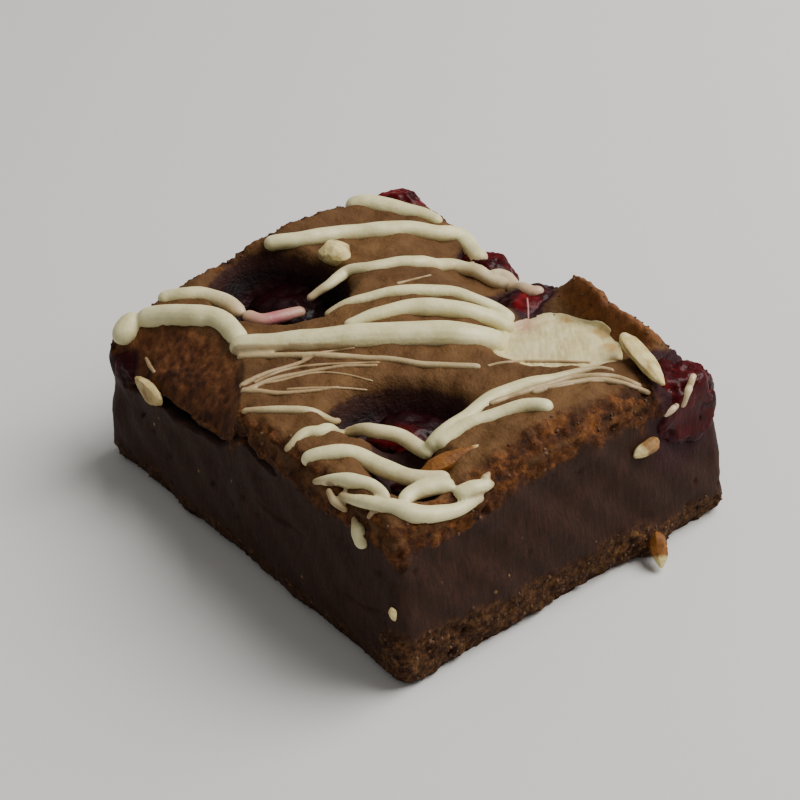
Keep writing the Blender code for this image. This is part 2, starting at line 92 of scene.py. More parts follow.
def grain(points: np.ndarray, size: float, octaves: int, seed: float = 0.0) -> np.ndarray:
    """Fractal noise of about -1 to 1 at many points.

    Args:
        points: Places in millimetres, one a row.
        size: Size of the largest lumps in millimetres.
        octaves: How many finer layers are added.
        seed: Shift that gives another pattern.

    Returns:
        One value for each point.
    """
    shift = Vector((seed, seed * 1.7, -seed * 0.6))
    scale = 1.0 / size
    values = [noise.fractal(Vector(p) * scale + shift, 0.9, 2.1, octaves) for p in points]
    return np.array(values)


class Slot(Enum):
    """Material slots of the record."""

    BROWNIE = "brownie"
    WHITE_CHOCOLATE = "white_chocolate"
    CHERRY = "cherry"
    ALMOND = "almond"


class Socket:
    """A number in a shader tree, with Math nodes behind Python's operators."""

    def __init__(self, kit: "NodeKit", output: bpy.types.NodeSocket) -> None:
        self.kit = kit
        self.output = output

    def __add__(self, other: Any) -> "Socket":
        """Sum."""
        return self.kit.math("ADD", self, other)

    __radd__ = __add__

    def __mul__(self, other: Any) -> "Socket":
        """Product."""
        return self.kit.math("MULTIPLY", self, other)

    __rmul__ = __mul__

    def __sub__(self, other: Any) -> "Socket":
        """Difference."""
        return self.kit.math("SUBTRACT", self, other)

    def __rsub__(self, other: Any) -> "Socket":
        """Difference from a number."""
        return self.kit.math("SUBTRACT", other, self)


class NodeKit:
    """Adds nodes to one tree and links them."""

    def __init__(self, tree: bpy.types.NodeTree) -> None:
        """Keep the tree that nodes go into."""
        self.tree = tree

    def node(
        self, kind: str, settings: dict[str, Any] | None = None, inputs: dict[str, Any] | None = None
    ) -> bpy.types.Node:
        """Add a node.

        Args:
            kind: Node type.
            settings: Values of the node's own options, set first.
            inputs: Values or links of its sockets, by identifier or name.

        Returns:
            The new node.
        """
        made = self.tree.nodes.new(kind)
        for name, value in (settings or {}).items():
            setattr(made, name, value)
        self.fill(made, inputs or {})
        return made

    def fill(self, made: bpy.types.Node, inputs: dict[str, Any]) -> None:
        """Give a node's sockets values or links, by identifier or name."""
        for name, value in inputs.items():
            self.feed(self.socket(made.inputs, name), value)

    def step(self, kind: str, inputs: dict[str, Any]) -> bpy.types.NodeSocket:
        """First output of a new node."""
        return self.node(kind, None, inputs).outputs[0]

    @staticmethod
    def socket(sockets: Any, name: str) -> bpy.types.NodeSocket:
        """Socket with this identifier, or else the first with this name.

        Args:
            sockets: Inputs or outputs of a node.
            name: Identifier or name of the socket.

        Returns:
            The socket.
        """
        for item in sockets:
            if item.identifier == name:
                return item
        return sockets[name]

    def feed(self, target: bpy.types.NodeSocket, value: Any) -> None:
        """Link a socket or set its value.

        Args:
            target: Input socket.
            value: Number or link.
        """
        if isinstance(value, Socket):
            self.tree.links.new(value.output, target)
        elif isinstance(value, bpy.types.NodeSocket):
            self.tree.links.new(value, target)
        else:
            target.default_value = value

    def math(self, operation: str, first: Any, second: Any = 0.0) -> Socket:
        """Math node on two numbers.

        Args:
            operation: Name of the operation.
            first: First number.
            second: Second number.

        Returns:
            The result.
        """
        made = self.node("ShaderNodeMath", {"operation": operation})
        self.feed(made.inputs[0], first)
        self.feed(made.inputs[1], second)
        return Socket(self, made.outputs[0])

    def span(self, value: Any, low: float, high: float) -> Socket:
        """Clamped smooth step from 0 at low to 1 at high."""
        made = self.node(
            "ShaderNodeMapRange",
            {"interpolation_type": "SMOOTHSTEP", "clamp": True},
            {"Value": value, "From Min": low, "From Max": high},
        )
        return Socket(self, made.outputs["Result"])

    def mix(self, factor: Any, first: Any, second: Any) -> bpy.types.NodeSocket:
        """Mix of two colours."""
        made = self.node(
            "ShaderNodeMix",
            {"data_type": "RGBA", "clamp_factor": True},
            {"Factor_Float": factor, "A_Color": first, "B_Color": second},
        )
        return self.socket(made.outputs, "Result_Color")

    def ramp(self, value: Any, colours: Stops) -> bpy.types.NodeSocket:
        """Colour ramp through two stops or more, in rising order.

        Args:
            value: Place along the ramp.
            colours: Stops of the ramp.

        Returns:
            The ramp's colour.
        """
        made = self.node("ShaderNodeValToRGB", None, {"Fac": value})
        elements = made.color_ramp.elements
        while len(elements) < len(colours):
            elements.new(0.5)
        for element, (place, colour) in zip(elements, colours):
            element.position = place
            element.color = colour
        return made.outputs["Color"]

    def attribute(self, name: str) -> Socket:
        """Number that the piece keeps at its points."""
        made = self.node("ShaderNodeAttribute", {"attribute_name": name})
        return Socket(self, made.outputs["Fac"])

    def place(self) -> bpy.types.NodeSocket:
        """Object coordinates."""
        return self.node("ShaderNodeTexCoord").outputs["Object"]

    def vectors(self, operation: str, inputs: dict[str, Any]) -> bpy.types.NodeSocket:
        """Vector Math node."""
        return self.node("ShaderNodeVectorMath", {"operation": operation}, inputs).outputs[0]

    def stretched(self, place: bpy.types.NodeSocket, sizes: Point) -> bpy.types.NodeSocket:
        """Coordinates counted in lumps of the given sizes in millimetres."""
        counts = tuple(1.0 / (size * MM) for size in sizes)
        return self.vectors("MULTIPLY", {"Vector": place, "Vector_001": counts})

    def noise(
        self, place: Any, size: float, detail: float = 3.0, roughness: float = 0.55, twist: float = 0.0
    ) -> Socket:
        """Noise from 0 to 1 with lumps of a size in millimetres."""
        inputs = {"Vector": place, "Scale": 1.0 / (size * MM), "Detail": detail}
        inputs.update({"Roughness": roughness, "Distortion": twist})
        return Socket(self, self.node("ShaderNodeTexNoise", None, inputs).outputs["Fac"])

    def streaks(self, place: Any, sizes: Point, detail: float = 2.0) -> Socket:
        """Noise from 0 to 1 with lumps stretched to sizes in millimetres."""
        inputs = {"Vector": self.stretched(place, sizes), "Scale": 1.0, "Detail": detail}
        return Socket(self, self.node("ShaderNodeTexNoise", None, inputs).outputs["Fac"])

    def cells(self, place: Any, size: float) -> tuple[Socket, bpy.types.NodeSocket]:
        """Distance to the nearest cell's middle and that cell's random colour."""
        made = self.node("ShaderNodeTexVoronoi", None, {"Vector": place, "Scale": 1.0 / (size * MM)})
        return Socket(self, made.outputs["Distance"]), made.outputs["Color"]

    def bump(self, height: Any, distance: float, strength: float) -> bpy.types.NodeSocket:
        """Normal of a relief whose height of 1 is a distance in millimetres."""
        inputs = {"Height": height, "Distance": distance * MM, "Strength": strength}
        return self.step("ShaderNodeBump", inputs)


class ShapeKit(NodeKit):
    """Adds nodes to a new Geometry Nodes tree with named inputs."""

    def __init__(self, name: str, numbers: Sequence[str], whole: str) -> None:
        """Make the tree.

        Args:
            name: Name of the tree.
            numbers: Names of the inputs that take a number.
            whole: Name of the input that takes a whole number.
        """
        super().__init__(bpy.data.node_groups.new(name, "GeometryNodeTree"))
        kinds = {"Geometry": "Geometry"} | dict.fromkeys(numbers, "Float") | {whole: "Int"}
        face = self.tree.interface
        for key, kind in kinds.items():
            face.new_socket(key, in_out="INPUT", socket_type="NodeSocket" + kind)
        face.new_socket("Geometry", in_out="OUTPUT", socket_type="NodeSocketGeometry")
        self.given = self.node("NodeGroupInput").outputs

    def kept(self, name: str) -> bpy.types.NodeSocket:
        """Number kept at the points of the mesh."""
        made = self.node("GeometryNodeInputNamedAttribute", {"data_type": "FLOAT"}, {"Name": name})
        return made.outputs["Attribute"]

    def random(self, low: Any, high: Any) -> bpy.types.NodeSocket:
        """Number at random, from the tree's seed."""
        inputs = {"Min_001": low, "Max_001": high, "Seed": self.given["Seed"]}
        made = self.node("FunctionNodeRandomValue", {"data_type": "FLOAT"}, inputs)
        return self.socket(made.outputs, "Value_001")

    def uneven(self, shape: Any, count: Any, reach: Any) -> bpy.types.NodeSocket:
        """Shape whose points are moved by noise.

        Args:
            shape: Geometry to move.
            count: Lumps in a metre.
            reach: How far the points move.

        Returns:
            The moved geometry.
        """
        spot = self.step("GeometryNodeInputPosition", {})
        wobble = self.node("ShaderNodeTexNoise", None, {"Vector": spot, "Scale": count})
        terms = {"Vector": wobble.outputs["Color"], "Vector_001": (0.5, 0.5, 0.5)}
        centred = self.vectors("SUBTRACT", terms)
        shift = self.vectors("SCALE", {"Vector": centred, "Scale": reach})
        return self.step("GeometryNodeSetPosition", {"Geometry": shape, "Offset": shift})

    def close(self, shape: Any, material: bpy.types.Material) -> bpy.types.NodeTree:
        """Give the result its material and end the tree."""
        dressed = self.step("GeometryNodeSetMaterial", {"Geometry": shape, "Material": material})
        self.node("NodeGroupOutput", None, {"Geometry": dressed})
        return self.tree


class Finish:
    """Base of the finishes: a named Principled material."""

    label: str = "finish"

    def material(self) -> bpy.types.Material:
        """New material of this finish.

        Returns:
            The material.
        """
        made = bpy.data.materials.new(self.label)
        made.use_nodes = True
        kit = NodeKit(made.node_tree)
        kit.fill(made.node_tree.nodes["Principled BSDF"], self.sockets(kit))
        return made

    def sockets(self, kit: NodeKit) -> dict[str, Any]:
        """Values and links of the shader's sockets."""
        raise NotImplementedError


@dataclass(frozen=True)
class CakeFinish(Finish):
    """Satin crust, dark smeared fudge, crumbly foot and wet fruit stains, with painted shade in the pits,
    the cracks and low in the bay, and painted light on the flake.
    """

    label: str = "cake"
    crust: Stops = stops((0.36, 69, 44, 21), (0.5, 89, 60, 31), (0.64, 108, 77, 44))
    edge: Stops = stops((0.36, 28, 13, 5), (0.5, 72, 39, 15), (0.66, 117, 71, 31))
    torn: Stops = stops((0.36, 40, 20, 12), (0.5, 84, 48, 25), (0.66, 122, 78, 44))
    foot: Stops = stops((0.38, 27, 14, 7), (0.5, 64, 38, 20), (0.68, 112, 79, 44))
    fudge_dark: Colour = srgb(40, 20, 12)
    fudge_light: Colour = srgb(55, 31, 19)
    speck: Colour = srgb(150, 116, 70)
    wine: Colour = srgb(40, 6, 12)
    # Painted shade: dark red-brown on the upper pit walls, near black deep in the pits and inside the
    # cracks
    pit_wall_shade: Colour = srgb(46, 20, 14)
    hollow: Colour = srgb(19, 4, 6)

    def sockets(self, kit: NodeKit) -> dict[str, Any]:
        """Values and links of the shader's sockets.

        Args:
            kit: Kit of the material's tree.

        Returns:
            Values and links by the name of their socket.
        """
        place = kit.place()
        broad = kit.noise(place, 9.0, 3.0)
        lumps = kit.noise(place, 2.2, 4.0, 0.6, 0.4)
        fine = kit.noise(place, 0.5, 3.0, 0.65)
        smear = kit.streaks(place, (0.45, 0.45, 5.0))
        gap, tint = kit.cells(place, 1.5)
        zones = ("crust", "edge", "foot", "juice", "pit", "torn", "flake", "low", "crack")
        crust, edge, foot, juice, pit, torn, flake, low, crack = map(kit.attribute, zones)
        brush = kit.streaks(kit.stretched(place, (1.0, 0.25, 1.0)), (0.8, 0.8, 0.8), 3.0)
        crust_colour = kit.ramp(broad * 0.4 + lumps * 0.2 + brush * 0.25 + fine * 0.15, self.crust)
        drag = kit.streaks(place, (1.2, 1.2, 3.0), 3.0)
        # Painted light lifts the edge colour on the flake, which faces away from the lamp
        edge_colour = kit.ramp(lumps * 0.7 + fine * 0.3 + flake * 0.1, self.edge)
        # Painted shade darkens the low part of the bay and painted light lifts its upper shelf
        depth = (0.5 - low) * 0.15
        torn_colour = kit.ramp(drag * 0.4 + lumps * 0.25 + broad * 0.35 + depth, self.torn)
        edge_colour = kit.mix(kit.math("MAXIMUM", torn, flake * 0.7), edge_colour, torn_colour)
        fudge_tone = smear * 0.5 + lumps * 0.25 + fine * 0.25
        fudge = kit.mix(kit.span(fudge_tone, 0.38, 0.66), self.fudge_dark, self.fudge_light)
        rare = kit.node("ShaderNodeSeparateColor", None, {"Color": tint})
        speck = kit.span(gap, 0.24, 0.14) * kit.span(Socket(kit, rare.outputs["Red"]), 0.95, 0.97)
        fudge = kit.mix(speck * 0.7, fudge, self.speck)
        coarse = kit.noise(place, 1.1, 4.0, 0.7)
        colour = kit.mix(foot, fudge, kit.ramp(coarse * 0.7 + fine * 0.3, self.foot))
        colour = kit.mix(edge, colour, edge_colour)
        colour = kit.mix(crust, colour, crust_colour)
        # Painted shade down the pits, deeper towards their floors
        colour = kit.mix(kit.span(pit, 0.0, 0.5), colour, self.pit_wall_shade)
        colour = kit.mix(kit.span(pit, 0.5, 1.0), colour, self.hollow)
        colour = kit.mix(juice, colour, self.wine)
        satin = 0.62 - crust * 0.12 + foot * 0.2 + edge * 0.15
        crumbly = foot + edge - torn * 0.5
        relief = fine * 0.45 + lumps * 0.6 + crumbly * kit.noise(place, 0.9, 4.0, 0.7) * 1.2
        return {
            # Painted shade inside the cracks
            "Base Color": kit.mix(kit.span(crack, 0.25, 1.4), colour, self.hollow),
            "Roughness": satin + fine * 0.12 - juice * 0.12 - flake * 0.1 - pit * 0.15,
            "Normal": kit.bump(relief + smear * (1.0 - crust) * 0.2, 0.4, 0.7),
            "Specular IOR Level": 0.18,
        }


@dataclass(frozen=True)
class ChocolateFinish(Finish):
    """Cream white chocolate that pinks where fruit bleeds, browns where it is thin and takes a tan of
    real stains and painted shade on the pool.
    """

    label: str = "white chocolate"
    cream: Colour = srgb(219, 211, 163)
    shade: Colour = srgb(204, 194, 143)
    thin: Colour = srgb(140, 104, 70)
    pink: Colour = srgb(168, 94, 98)
    # Tan of real stains, also laid over the whole pool as painted shade
    stain_and_shade: Colour = srgb(168, 134, 76)

    def sockets(self, kit: NodeKit) -> dict[str, Any]:
        """Values and links of the shader's sockets.

        Args:
            kit: Kit of the material's tree.

        Returns:
            Values and links by the name of their socket.
        """
        place = kit.place()
        cloud = kit.noise(place, 3.0, 3.0)
        fine = kit.noise(place, 0.6, 3.0)
        colour = kit.mix(kit.span(cloud, 0.35, 0.65), self.shade, self.cream)
        for zone, tint in (("stain_and_shade", self.stain_and_shade), ("sheer", self.thin), ("pink", self.pink)):
            colour = kit.mix(kit.attribute(zone), colour, tint)
        return {
            "Base Color": colour,
            "Roughness": 0.34 + fine * 0.2,
            "Normal": kit.bump(cloud * 0.5 + fine * 0.5, 0.25, 0.5),
            "Specular IOR Level": 0.45,
            "Subsurface Weight": 0.12,
            "Subsurface Radius": (1.0, 0.8, 0.5),
            "Subsurface Scale": 0.8 * MM,
        }


@dataclass(frozen=True)
class CherryFinish(Finish):
    """Wet dark red fruit, with painted shade and painted lit patches."""

    label: str = "cherry"
    # Near-black red laid on as painted shade
    deep: Colour = srgb(26, 3, 6)
    flesh: Stops = stops((0.34, 26, 3, 6), (0.54, 88, 6, 12), (0.72, 128, 14, 20))

    def sockets(self, kit: NodeKit) -> dict[str, Any]:
        """Values and links of the shader's sockets.

        Args:
            kit: Kit of the material's tree.

        Returns:
            Values and links by the name of their socket.
        """
        place = kit.place()
        patch = kit.noise(place, 5.0, 3.0)
        fibre = kit.streaks(place, (0.9, 0.9, 2.4), 3.0)
        fine = kit.noise(place, 0.5, 3.0, 0.6)
        colour = kit.ramp(patch * 0.75 + fibre * 0.25, self.flesh)
        return {
            # Painted shade from the dark share kept at the points
            "Base Color": kit.mix(kit.attribute("dark"), colour, self.deep),
            "Roughness": 0.2 + patch * 0.4,
            "Normal": kit.bump(fibre * 0.5 + patch * 0.7 + fine * 0.2, 0.45, 0.8),
            "Specular IOR Level": 0.08,
            "Coat Weight": 0.09,
            "Coat Roughness": 0.1,
            "Subsurface Weight": 0.2,
            "Subsurface Radius": (1.0, 0.15, 0.12),
            "Subsurface Scale": 1.5 * MM,
        }


@dataclass(frozen=True)
class AlmondFinish(Finish):
    """Chopped almond, cream inside and toasted at its edges, the toast also laid on as painted shade on
    the left sliver.
    """

    label: str = "almond"
    cream: Colour = srgb(202, 182, 118)
    ivory: Colour = srgb(216, 200, 144)
    toast_and_shade: Colour = srgb(134, 84, 28)
    skin: Colour = srgb(102, 58, 17)

    def sockets(self, kit: NodeKit) -> dict[str, Any]:
        """Values and links of the shader's sockets.

        Args:
            kit: Kit of the material's tree.

        Returns:
            Values and links by the name of their socket.
        """
        place = kit.place()
        cloud = kit.noise(place, 2.4, 3.0)
        fine = kit.noise(place, 0.5, 2.0)
        inside = kit.mix(kit.span(cloud, 0.35, 0.65), self.cream, self.ivory)
        skin = kit.mix(kit.span(cloud * 0.5 + fine * 0.5, 0.35, 0.65), self.skin, self.toast_and_shade)
        return {
            "Base Color": kit.mix(kit.attribute("toast_and_shade"), inside, skin),
            "Roughness": 0.5 + fine * 0.25,
            "Normal": kit.bump(cloud * 0.6 + fine * 0.6, 0.3, 0.7),
            "Specular IOR Level": 0.3,
            "Subsurface Weight": 0.1,
            "Subsurface Scale": 0.6 * MM,
        }


@dataclass(frozen=True)
class CrumbFinish(Finish):
    """Loose crumbs of crust and fudge."""

    label: str = "crumb"
    tones: Stops = stops((0.0, 30, 15, 7), (0.6, 64, 36, 15), (1.0, 90, 58, 28))

    def sockets(self, kit: NodeKit) -> dict[str, Any]:
        """Values and links of the shader's sockets."""
        return {
            "Base Color": kit.ramp(kit.attribute("tone"), self.tones),
            "Roughness": 0.6 + kit.noise(kit.place(), 0.4) * 0.2,
        }


@dataclass(frozen=True)
class FloorFinish(Finish):
    """Plain pale surface under the cake."""

    label: str = "floor"
    grey: Colour = srgb(208, 206, 203)
    pale: Colour = srgb(212, 210, 207)

    def sockets(self, kit: NodeKit) -> dict[str, Any]:
        """Values and links of the shader's sockets."""
        cloud = kit.noise(kit.place(), 160.0, 2.0)
        return {
            "Base Color": kit.mix(cloud, self.grey, self.pale),
            "Roughness": 0.85,
            "Specular IOR Level": 0.2,
        }


def make_piece(
    name: str,
    points: np.ndarray,
    faces: Sequence[Sequence[int]],
    material: bpy.types.Material,
    numbers: dict[str, np.ndarray] | None = None,
) -> bpy.types.Object:
    """Object from points in millimetres, smooth shaded.

    Args:
        name: Name of the piece.
        points: Places in millimetres, one a row.
        faces: Point numbers of each face.
        material: Material of the whole piece.
        numbers: Values kept at the points, by name.

    Returns:
        The new object, linked to the scene.
    """
    mesh = bpy.data.meshes.new(name)
    mesh.from_pydata((points * MM).tolist(), [], [tuple(face) for face in faces])
    mesh.materials.append(material)
    mesh.polygons.foreach_set("use_smooth", [True] * len(mesh.polygons))
    keep_numbers(mesh, numbers or {})
    mesh.validate()
    mesh.update()
    piece = bpy.data.objects.new(name, mesh)
    bpy.context.collection.objects.link(piece)
    return piece


def keep_numbers(mesh: bpy.types.Mesh, numbers: dict[str, np.ndarray]) -> None:
    """Store values at the points of a mesh."""
    for key, values in numbers.items():
        layer = mesh.attributes.new(key, "FLOAT", "POINT")
        layer.data.foreach_set("value", np.asarray(values, dtype=np.float32))


def mesh_points(mesh: bpy.types.Mesh) -> np.ndarray:
    """Places of a mesh's points in millimetres."""
    flat = np.empty(len(mesh.vertices) * 3)
    mesh.vertices.foreach_get("co", flat)
    return flat.reshape(-1, 3) / MM


def mesh_normals(mesh: bpy.types.Mesh) -> np.ndarray:
    """Outward directions at a mesh's points."""
    flat = np.empty(len(mesh.vertices) * 3)
    mesh.vertices.foreach_get("normal", flat)
    return flat.reshape(-1, 3)


def move_points(mesh: bpy.types.Mesh, points: np.ndarray) -> None:
    """Put a mesh's points at places in millimetres."""
    mesh.vertices.foreach_set("co", (points * MM).ravel())
    mesh.update()


def present(piece: bpy.types.Object, node: str) -> None:
    """Let a piece ride on the body and stand for a node.

    Args:
        piece: Object of the piece.
        node: Node of the solids that the piece stands for.
    """
    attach(piece, BODY)
    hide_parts(node)
    LOG.info("%s stands for %s with %d faces", piece.name, node, len(piece.data.polygons))


def baked(piece: bpy.types.Object) -> None:
    """Turn what a piece's modifiers give into its plain mesh and remove them.

    Args:
        piece: Object of the piece.
    """
    graph = bpy.context.evaluated_depsgraph_get()
    graph.update()
    result = bpy.data.meshes.new_from_object(piece.evaluated_get(graph))
    piece.modifiers.clear()
    piece.data = result


def grow(piece: bpy.types.Object, tree: bpy.types.NodeTree, values: dict[str, Any]) -> None:
    """Run a Geometry Nodes tree on a piece with these inputs and bake it.

    Args:
        piece: Object of the piece.
        tree: Geometry Nodes tree.
        values: Values of the tree's inputs, by name.
    """
    modifier = piece.modifiers.new("grow", "NODES")
    modifier.node_group = tree
    for item in tree.interface.items_tree:
        if item.in_out == "INPUT" and item.name in values:
            modifier[item.identifier] = values[item.name]
    baked(piece)


def curve_part(knots: Sequence[np.ndarray], count: int) -> list[np.ndarray]:
    """Samples of a smooth curve between the middle two of four knots.

    Args:
        knots: Places that the curve passes, in order.
        count: How many samples to make.

    Returns:
        The samples, from the second knot to just before the third.
    """
    first, start, end, last = knots
    samples = []
    for piece in range(count):
        t = piece / count
        pull = (end - first) * t
        bend = (first * 2.0 - start * 5.0 + end * 4.0 - last) * t * t
        twist = (start * 3.0 - first - end * 3.0 + last) * t * t * t
        samples.append((start * 2.0 + pull + bend + twist) * 0.5)
    return samples


@dataclass(frozen=True)
class Mound:
    """One named rise or hollow of the crust."""

    centre_x: float
    centre_y: float
    half_x: float
    half_y: float
    turn: float
    rise: float
    steepness: int

    def height(self, x: np.ndarray, y: np.ndarray) -> np.ndarray:
        """Rise at places in plan.

        Args:
            x: Places along X in millimetres.
            y: Places along Y in millimetres.

        Returns:
            One rise for each place.
        """
        angle = math.radians(self.turn)
        away_x = x - self.centre_x
        away_y = y - self.centre_y
        along = (away_x * math.cos(angle) + away_y * math.sin(angle)) / self.half_x
        across = (away_y * math.cos(angle) - away_x * math.sin(angle)) / self.half_y
        return self.rise * np.exp(-((along * along + across * across) ** self.steepness))


@dataclass(frozen=True)
class Ellipsoid:
    """Centre, half-sizes, turn about Z in degrees and dimple of a cherry."""

    centre: Point
    halves: Point
    turn: float
    dimple: float

    def reach(self, points: np.ndarray) -> np.ndarray:
        """Distance of points from the centre, counted in half-sizes.

        Args:
            points: Places in millimetres, one a row.

        Returns:
            One distance for each point.
        """
        angle = math.radians(self.turn)
        away = points - np.array(self.centre)
        along = away[:, 0] * math.cos(angle) + away[:, 1] * math.sin(angle)
        across = away[:, 1] * math.cos(angle) - away[:, 0] * math.sin(angle)
        shares = np.stack((along, across, away[:, 2]), axis=1) / np.array(self.halves)
        return np.linalg.norm(shares, axis=1)


CHERRIES: dict[str, Ellipsoid] = {
    "cherry_left_pit": Ellipsoid((-1.5, 28.0, 19.0), (7.6, 8.4, 5.6), 20.0, 0.18),
    "cherry_front_pit": Ellipsoid((-11.5, -17.0, 20.6), (8.0, 6.6, 5.2), -8.0, 0.22),
    "cherry_front_arm": Ellipsoid((-19.6, -28.6, 20.6), (4.6, 6.0, 4.6), -14.0, 0.12),
    "cherry_back_right": Ellipsoid((23.9, -3.6, 22.9), (6.9, 6.2, 4.4), 10.0, 0.15),
    "cherry_back_edge": Ellipsoid((28.4, 11.8, 22.2), (4.2, 6.4, 3.8), 0.0, 0.12),
    "cherry_back_corner": Ellipsoid((28.0, 35.2, 25.3), (4.6, 5.2, 4.2), 25.0, 0.12),
    "cherry_right_corner": Ellipsoid((25.0, -35.4, 21.4), (7.6, 7.4, 6.6), -20.0, 0.14),
    "cherry_left_corner": Ellipsoid((-27.3, 35.4, 17.7), (4.1, 4.6, 4.2), 0.0, 0.1),
}


# Each cherry's share of painted shade, the centre and size of its painted lit patch, and for one the
# depth of its folds.
CHERRY_LIGHT: dict[str, tuple[Any, ...]] = {
    "cherry_left_pit": (1.0, (0.0, 0.0, 0.0), 1.0),
    "cherry_front_pit": (1.0, (-17.5, -20.5, 25.0), 8.0),
    "cherry_front_arm": (0.9, (-20.0, -33.0, 25.0), 3.0),
    "cherry_back_right": (0.9, (22.5, -5.0, 26.5), 3.6),
    "cherry_back_edge": (0.6, (29.0, 14.0, 25.5), 4.0),
    "cherry_back_corner": (0.2, (29.0, 37.0, 29.0), 5.0),
    "cherry_right_corner": (0.6, (34.0, -33.5, 18.5), 9.0, 2.0),
    "cherry_left_corner": (0.8, (-32.5, 39.0, 20.0), 4.5),
}


@dataclass(frozen=True)
class Crack:
    """Crack in the left face: ends along Y with their heights, half-width and depth."""

    start: tuple[float, float]
    end: tuple[float, float]
    half_width: float
    depth: float

    def groove(self, y: np.ndarray, z: np.ndarray, rim: np.ndarray) -> np.ndarray:
        """Depth of the crack at places on the face, always a little under the rim.

        Args:
            y: Places along Y in millimetres.
            z: Heights in millimetres.
            rim: Heights of the rim above the places.

        Returns:
            One depth for each place.
        """
        share = np.clip((y - self.start[0]) / (self.end[0] - self.start[0]), 0.0, 1.0)
        middle = self.start[1] + (self.end[1] - self.start[1]) * share + 0.35 * np.sin(9.0 * share)
        middle = np.minimum(middle, rim - 1.5)
        swell = np.sin(math.pi * share) ** 0.7
        width = self.half_width * (0.3 + 0.7 * swell)
        return self.depth * swell * np.exp(-(((z - middle) / width) ** 4))


